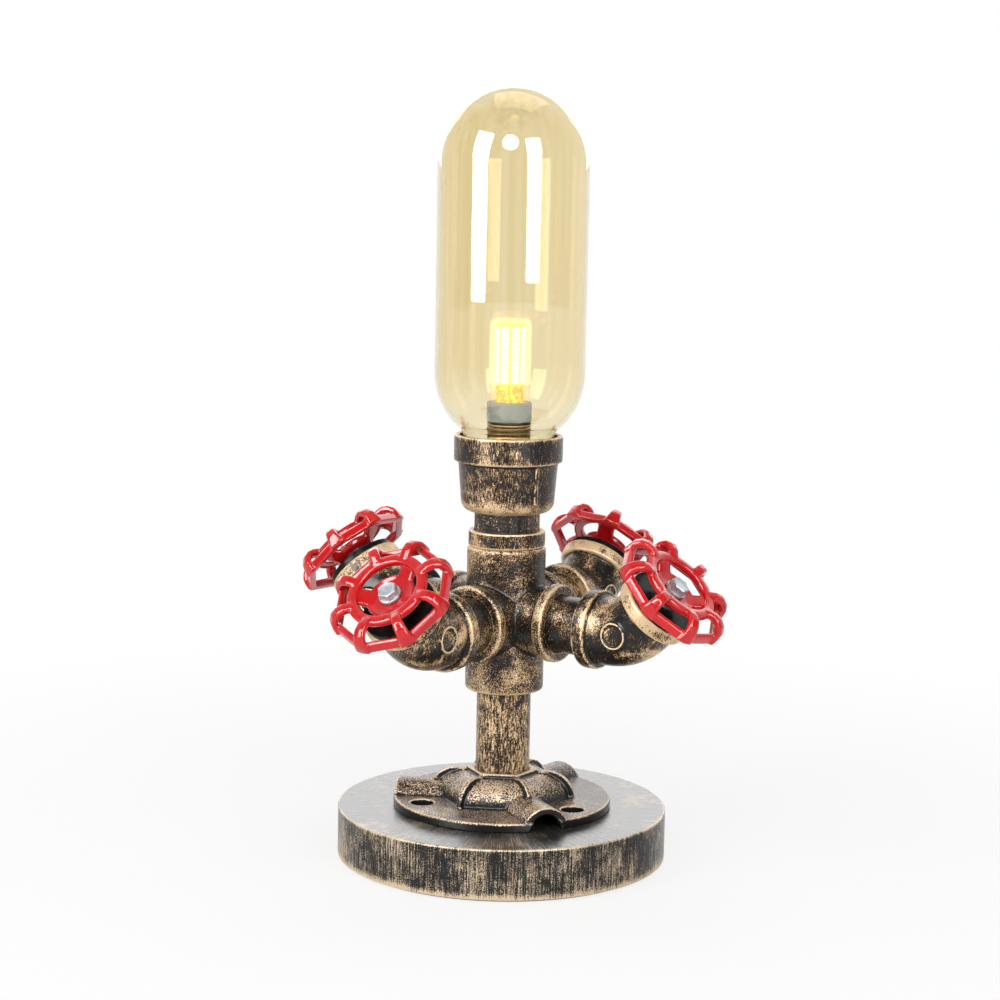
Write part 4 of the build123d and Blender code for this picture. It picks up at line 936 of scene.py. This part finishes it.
def glass_shell():
    """Outer skin of the capsule, open at its foot."""
    bm = bmesh.new()
    drop = math.sqrt(GLASS_RADIUS**2 - NECK_RADIUS**2)
    high_centre = GLASS_HIGH.z - GLASS_RADIUS
    foot = bm.verts.new((NECK_RADIUS, 0, GLASS_LOW.z))
    waist = bm.verts.new((NECK_RADIUS, 0, LOW_CENTRE - drop))
    bm.edges.new((foot, waist))
    bulge = bmesh.ops.spin(
        bm, geom=[waist], cent=(0, 0, LOW_CENTRE), axis=(0, -1, 0),
        angle=math.atan2(drop, NECK_RADIUS), steps=BULGE_STEPS, use_merge=False,
    )
    low = next(v for v in bulge["geom_last"] if isinstance(v, bmesh.types.BMVert))
    high = bm.verts.new((GLASS_RADIUS, 0, high_centre))
    bm.edges.new((low, high))
    bmesh.ops.spin(
        bm, geom=[high], cent=(0, 0, high_centre), axis=(0, -1, 0), angle=math.pi / 2,
        steps=DOME_STEPS, use_merge=False,
    )
    bmesh.ops.remove_doubles(bm, verts=bm.verts, dist=1e-7)
    bmesh.ops.spin(
        bm, geom=[*bm.verts, *bm.edges], cent=(0, 0, 0), axis=(0, 0, 1), angle=math.tau,
        steps=GLASS_STEPS, use_merge=True,
    )
    bmesh.ops.remove_doubles(bm, verts=bm.verts, dist=1e-6)
    bmesh.ops.recalc_face_normals(bm, faces=bm.faces)
    return mesh_from(bm, "amber_capsule")


AMBER = (0.80, 0.64, 0.06, 1.0)


def amber_glass():
    """Clear hard surface round a volume that takes out blue, with faint drawn streaks."""
    material, tree, surface, place = new_material("amber_glass")
    drawn = ramp(tree, noise(tree, stretched(tree, place, (1.0, 1.0, 40.0)), 260.0, 2.0), 0.35, 0.65)
    side = ramp(tree, axis_of(tree, place, "X"), -GLASS_RADIUS, GLASS_RADIUS)
    deeper = blend_colours(tree, side, (0.92, 0.86, 0.70, 1.0), (0.97, 0.93, 0.84, 1.0))
    tint = blend_colours(tree, drawn, deeper, (0.98, 0.95, 0.88, 1.0))
    rise = ramp(tree, axis_of(tree, place, "Z"), GLASS_LOW.z + CLEAR_TO, GLASS_LOW.z + TINTED_FROM)
    waves = noise(tree, stretched(tree, place, (1.0, 1.0, 0.35)), 45.0, 1.0)
    finish_with(
        tree, surface, Base_Color=blend_colours(tree, rise, (1.0, 1.0, 1.0, 1.0), tint),
        Roughness=0.0, IOR=1.46, Transmission_Weight=1.0,
        Coat_Weight=0.6, Coat_IOR=1.5, Coat_Roughness=0.0, Normal=bump(tree, waves, 0.05 * MM),
    )
    inside = shader(tree, "VolumeAbsorption", {"Color": AMBER, "Density": AMBER_DENSITY})
    tree.links.new(inside.outputs["Volume"], tree.nodes["Material Output"].inputs["Volume"])
    return material


capsule = linked("amber_capsule", glass_shell())
wall = capsule.modifiers.new("wall", "SOLIDIFY")
wall.thickness = GLASS_WALL
wall.offset = -1
applied(capsule)
capsule.data.materials.append(amber_glass())
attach(capsule, "glass")
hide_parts("glass_shade")
print("capsule faces", len(capsule.data.polygons))

# %% [markdown]
# ## LED lamp
# Inside the glass stands a small two-pin lamp, lit: eight columns of LED chips round a carrier,
# under a clear cover. Each chip is a little block, bright yellow where the phosphor shows and almost
# white where it is hottest. An emitting strip would do from afar, but separate chips show close up.
# Below them an amber band with dark blotches stands for the small parts at the lamp's foot.

# %% LED lamp
LED_LOW, LED_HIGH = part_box("led_strips")
LED_COLUMNS = 8
LED_ROWS = 12
CARRIER_RADIUS = 5.9 * MM
CHIP = (0.6 * MM, 3.5 * MM, 2.0 * MM)
CHIP_CHAMFER = 0.15 * MM
LED_PLACE = CARRIER_RADIUS + CHIP[0] / 2
LED_FOOT = 0.22
FOOT_FADE = (LED_FOOT + 0.02, LED_FOOT - 0.04)


def led_glow():
    """Lit phosphor, mottled between yellow and a paler yellow."""
    material, tree, surface, place = new_material("led_phosphor")
    mottle = ramp(tree, noise(tree, place, 900.0, 2.0), 0.3, 0.7)
    colour = blend_colours(tree, mottle, (1.0, 0.76, 0.34, 1.0), (1.0, 0.92, 0.66, 1.0))
    finish_with(
        tree, surface, Base_Color=(0.9, 0.7, 0.2, 1.0), Roughness=0.5, Emission_Color=colour,
        Emission_Strength=2.6,
    )
    return material


def at_led_foot(tree, place):
    """1 round the foot of the lamp, below the chips, and 0 above."""
    above, below = (LED_LOW.z + (LED_HIGH.z - LED_LOW.z) * share for share in FOOT_FADE)
    return ramp(tree, axis_of(tree, place, "Z"), above, below)


def lit_board():
    """The carrier, with a painted glow of the chips' light: yellow between the chips, and amber with dark blotches
    at the foot.
    """
    material, tree, surface, place = new_material("led_board")
    mottle = ramp(tree, noise(tree, place, 1200.0, 2.0), 0.35, 0.65)
    parts = ramp(tree, noise(tree, place, 480.0, 1.0), 0.46, 0.54)
    foot = blend_colours(tree, parts, (0.10, 0.03, 0.004, 1.0), (0.90, 0.46, 0.06, 1.0))
    board = blend_colours(tree, mottle, (1.0, 0.50, 0.10, 1.0), (1.0, 0.62, 0.18, 1.0))
    finish_with(
        tree, surface, Base_Color=(0.85, 0.62, 0.20, 1.0), Roughness=0.5, Emission_Strength=1.0,
        Emission_Color=blend_colours(tree, at_led_foot(tree, place), board, foot),
    )
    return material


def led_chips():
    """All the chips, in columns round the carrier."""
    bm = bmesh.new()
    foot = (LED_HIGH.z - LED_LOW.z) * LED_FOOT
    pitch = (LED_HIGH.z - LED_LOW.z - foot) / LED_ROWS
    for column in range(LED_COLUMNS):
        spin = Matrix.Rotation(math.tau * (column + 0.5) / LED_COLUMNS, 4, "Z")
        for row in range(LED_ROWS):
            lift = LED_LOW.z + foot + pitch * (row + 0.5)
            put = Matrix.Translation((LED_PLACE, 0, lift)) @ Matrix.Diagonal((*CHIP, 1))
            bmesh.ops.create_cube(bm, size=1.0, matrix=spin @ put)
    bmesh.ops.bevel(
        bm, geom=bm.edges[:], offset=CHIP_CHAMFER, offset_type="OFFSET", segments=1, profile=0.5,
        affect="EDGES", material=-1,
    )
    return mesh_from(bm, "led_chips")


chips = linked("led_chips", led_chips())
chips.data.materials.append(led_glow())
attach(chips, "lamp")
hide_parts("led_strips")


def clear_cover():
    """Thin clear plastic tube over the chips, which catches some of their light."""
    material, tree, surface, place = new_material("clear_cover")
    glow = blend_colours(tree, at_led_foot(tree, place), (1.0, 0.82, 0.40, 1.0), (0.18, 0.10, 0.02, 1.0))
    finish_with(
        tree, surface, Base_Color=(1.0, 0.93, 0.70, 1.0), Roughness=0.02, IOR=1.06,
        Transmission_Weight=1.0, Alpha=0.35, Emission_Strength=0.6, Emission_Color=glow,
        Normal=bump(tree, noise(tree, place, 300.0, 1.0), 0.02 * MM),
    )
    return material


RING_PITCH = 1.3 * MM


def ringed_brass():
    """Rolled rings round the sleeve: pale brass on the crests and dark in the grooves."""
    material, tree, surface, place = new_material("ringed_brass")
    turn = number(tree, "MULTIPLY", axis_of(tree, place, "Z"), math.tau / RING_PITCH)
    wave = line(tree, number(tree, "SINE", turn), 0.5, 0.5)
    uneven = number(tree, "ADD", wave, number(tree, "SUBTRACT", noise(tree, place, 300.0), 0.5))
    crest = ramp(tree, uneven, 0.25, 0.75)
    finish_with(
        tree, surface,
        Base_Color=blend_colours(tree, crest, (0.035, 0.024, 0.014, 1.0), (0.60, 0.47, 0.30, 1.0)),
        Metallic=0.8, Roughness=0.30, Normal=bump(tree, wave, 0.25 * MM),
    )
    return material


coat("lamp_cover", clear_cover())
coat("led_carrier", lit_board())
coat("holder_sleeve", ringed_brass())
coat("lamp_base", plain(
    "lamp_collar", (0.27, 0.34, 0.48), (0.31, 0.38, 0.52), 0.0, 0.16, 1400.0, 0.004
))

# %% [markdown]
# ## Studio
# The lamp stands on a plain white floor in front of nothing. The tall soft boxes left and right and
# the round one above the camera are where the glass shows their reflections, and the world fills
# the rest. The world looks white to the camera, and in glass and gloss, but lights the lamp less.
# One light could do for each box, but glass needs it far brighter than matt paint does. So each is
# made twice: once to light matt surfaces, and once, brighter and a little nearer, to show in gloss.

# %% Studio
AIM = Vector((0.0, 0.0, 0.19))
GLOSS_SHARE, GLOSS_NEARER = 3.7, 0.03
SKY_ON_MATT = 0.27
FLOOR_RADIUS = 4.0


def soft_box(name, azimuth, elevation, distance, width, height, radiance, seen_in, shape="RECTANGLE"):
    """Area light round the lamp; azimuth 0 is in front, positive to the right.

    A light shows in gloss only, or lights matt surfaces only.
    """
    a, e = math.radians(azimuth), math.radians(elevation)
    way = Vector((math.sin(a) * math.cos(e), -math.cos(a) * math.cos(e), math.sin(e)))
    data = bpy.data.lights.new(name, "AREA")
    data.shape = shape
    data.size = width
    data.size_y = height
    area = width * height * (math.pi / 4 if shape == "DISK" else 1.0)
    data.energy = radiance * math.pi * area
    lamp = bpy.data.objects.new(name, data)
    lamp.location = AIM + way * distance
    lamp.rotation_euler = way.to_track_quat("Z", "Y").to_euler()
    lamp.visible_camera = False
    lamp.visible_glossy = seen_in != "matt"
    lamp.visible_diffuse = seen_in != "gloss"
    lamp.visible_transmission = seen_in != "gloss"
    bpy.context.scene.collection.objects.link(lamp)


for seen_in, share, nearer in (("matt", 1.0, 0.0), ("gloss", GLOSS_SHARE, GLOSS_NEARER)):
    soft_box(f"box_left_{seen_in}", -51.0, 22.0, 1.15 - nearer, 0.50, 0.92, 4.6 * share, seen_in)
    soft_box(f"box_right_{seen_in}", 31.0, 20.0, 1.20 - nearer, 0.45, 0.82, 4.0 * share, seen_in)
    soft_box(f"box_round_{seen_in}", -6.0, 33.0, 1.30 - nearer, 0.50, 0.50, 5.0 * share, seen_in, "DISK")
soft_box("box_top", 170.0, 72.0, 1.30, 0.90, 0.90, 2.2, "matt")
soft_box("box_back", 180.0, 24.0, 1.60, 2.80, 1.10, 1.6, "gloss")


def seen(tree, path):
    """1 for rays from the camera, in gloss or through glass, and 0 for light on matt surfaces."""
    in_glass = number(tree, "MAXIMUM", path["Is Glossy Ray"], path["Is Transmission Ray"])
    return number(tree, "MAXIMUM", path["Is Camera Ray"], in_glass)


world = bpy.data.worlds.new("studio")
bpy.context.scene.world = world
world.use_nodes = True
sky = world.node_tree
sky.nodes.clear()
path = shader(sky, "LightPath").outputs
way = shader(sky, "SeparateXYZ", {"Vector": shader(sky, "TexCoord").outputs["Generated"]}).outputs["Y"]
backdrop = ramp(sky, way, -0.30, 0.60)
mirrored = line(sky, backdrop, 0.90, 0.10)
direct = number(sky, "MAXIMUM", path["Is Camera Ray"], path["Is Transmission Ray"])
level = number(sky, "MAXIMUM", mirrored, direct)
dim = shader(sky, "Background", {"Color": (1, 1, 1, 1), "Strength": SKY_ON_MATT})
bright = shader(sky, "Background", {"Color": (1, 1, 1, 1), "Strength": level})
both = shader(sky, "MixShader", {0: seen(sky, path), 1: dim.outputs[0], 2: bright.outputs[0]})
sky.links.new(both.outputs[0], shader(sky, "OutputWorld").inputs["Surface"])

floor_bm = bmesh.new()
bmesh.ops.create_circle(floor_bm, cap_ends=True, radius=FLOOR_RADIUS, segments=96)
floor = linked("floor", mesh_from(floor_bm, "floor"))
floor_material = bpy.data.materials.new("floor_white")
floor_material.use_nodes = True
tree = floor_material.node_tree
tree.nodes.clear()
path = shader(tree, "LightPath").outputs
matt = shader(tree, "BsdfDiffuse", {"Color": (0.90, 0.90, 0.90, 1.0)})
glow = shader(tree, "Emission", {"Color": (1, 1, 1, 1), "Strength": 1.0})
spot = shader(tree, "TexCoord").outputs["Object"]
away = shader(tree, "VectorMath", {0: spot}, operation="LENGTH").outputs["Value"]
fade = line(tree, ramp(tree, away, 0.10, 0.55), 0.20, 0.80)
share = number(tree, "MULTIPLY", seen(tree, path), fade)
both = shader(tree, "MixShader", {0: share, 1: matt.outputs[0], 2: glow.outputs[0]})
tree.links.new(both.outputs[0], shader(tree, "OutputMaterial").inputs["Surface"])
floor.data.materials.append(floor_material)
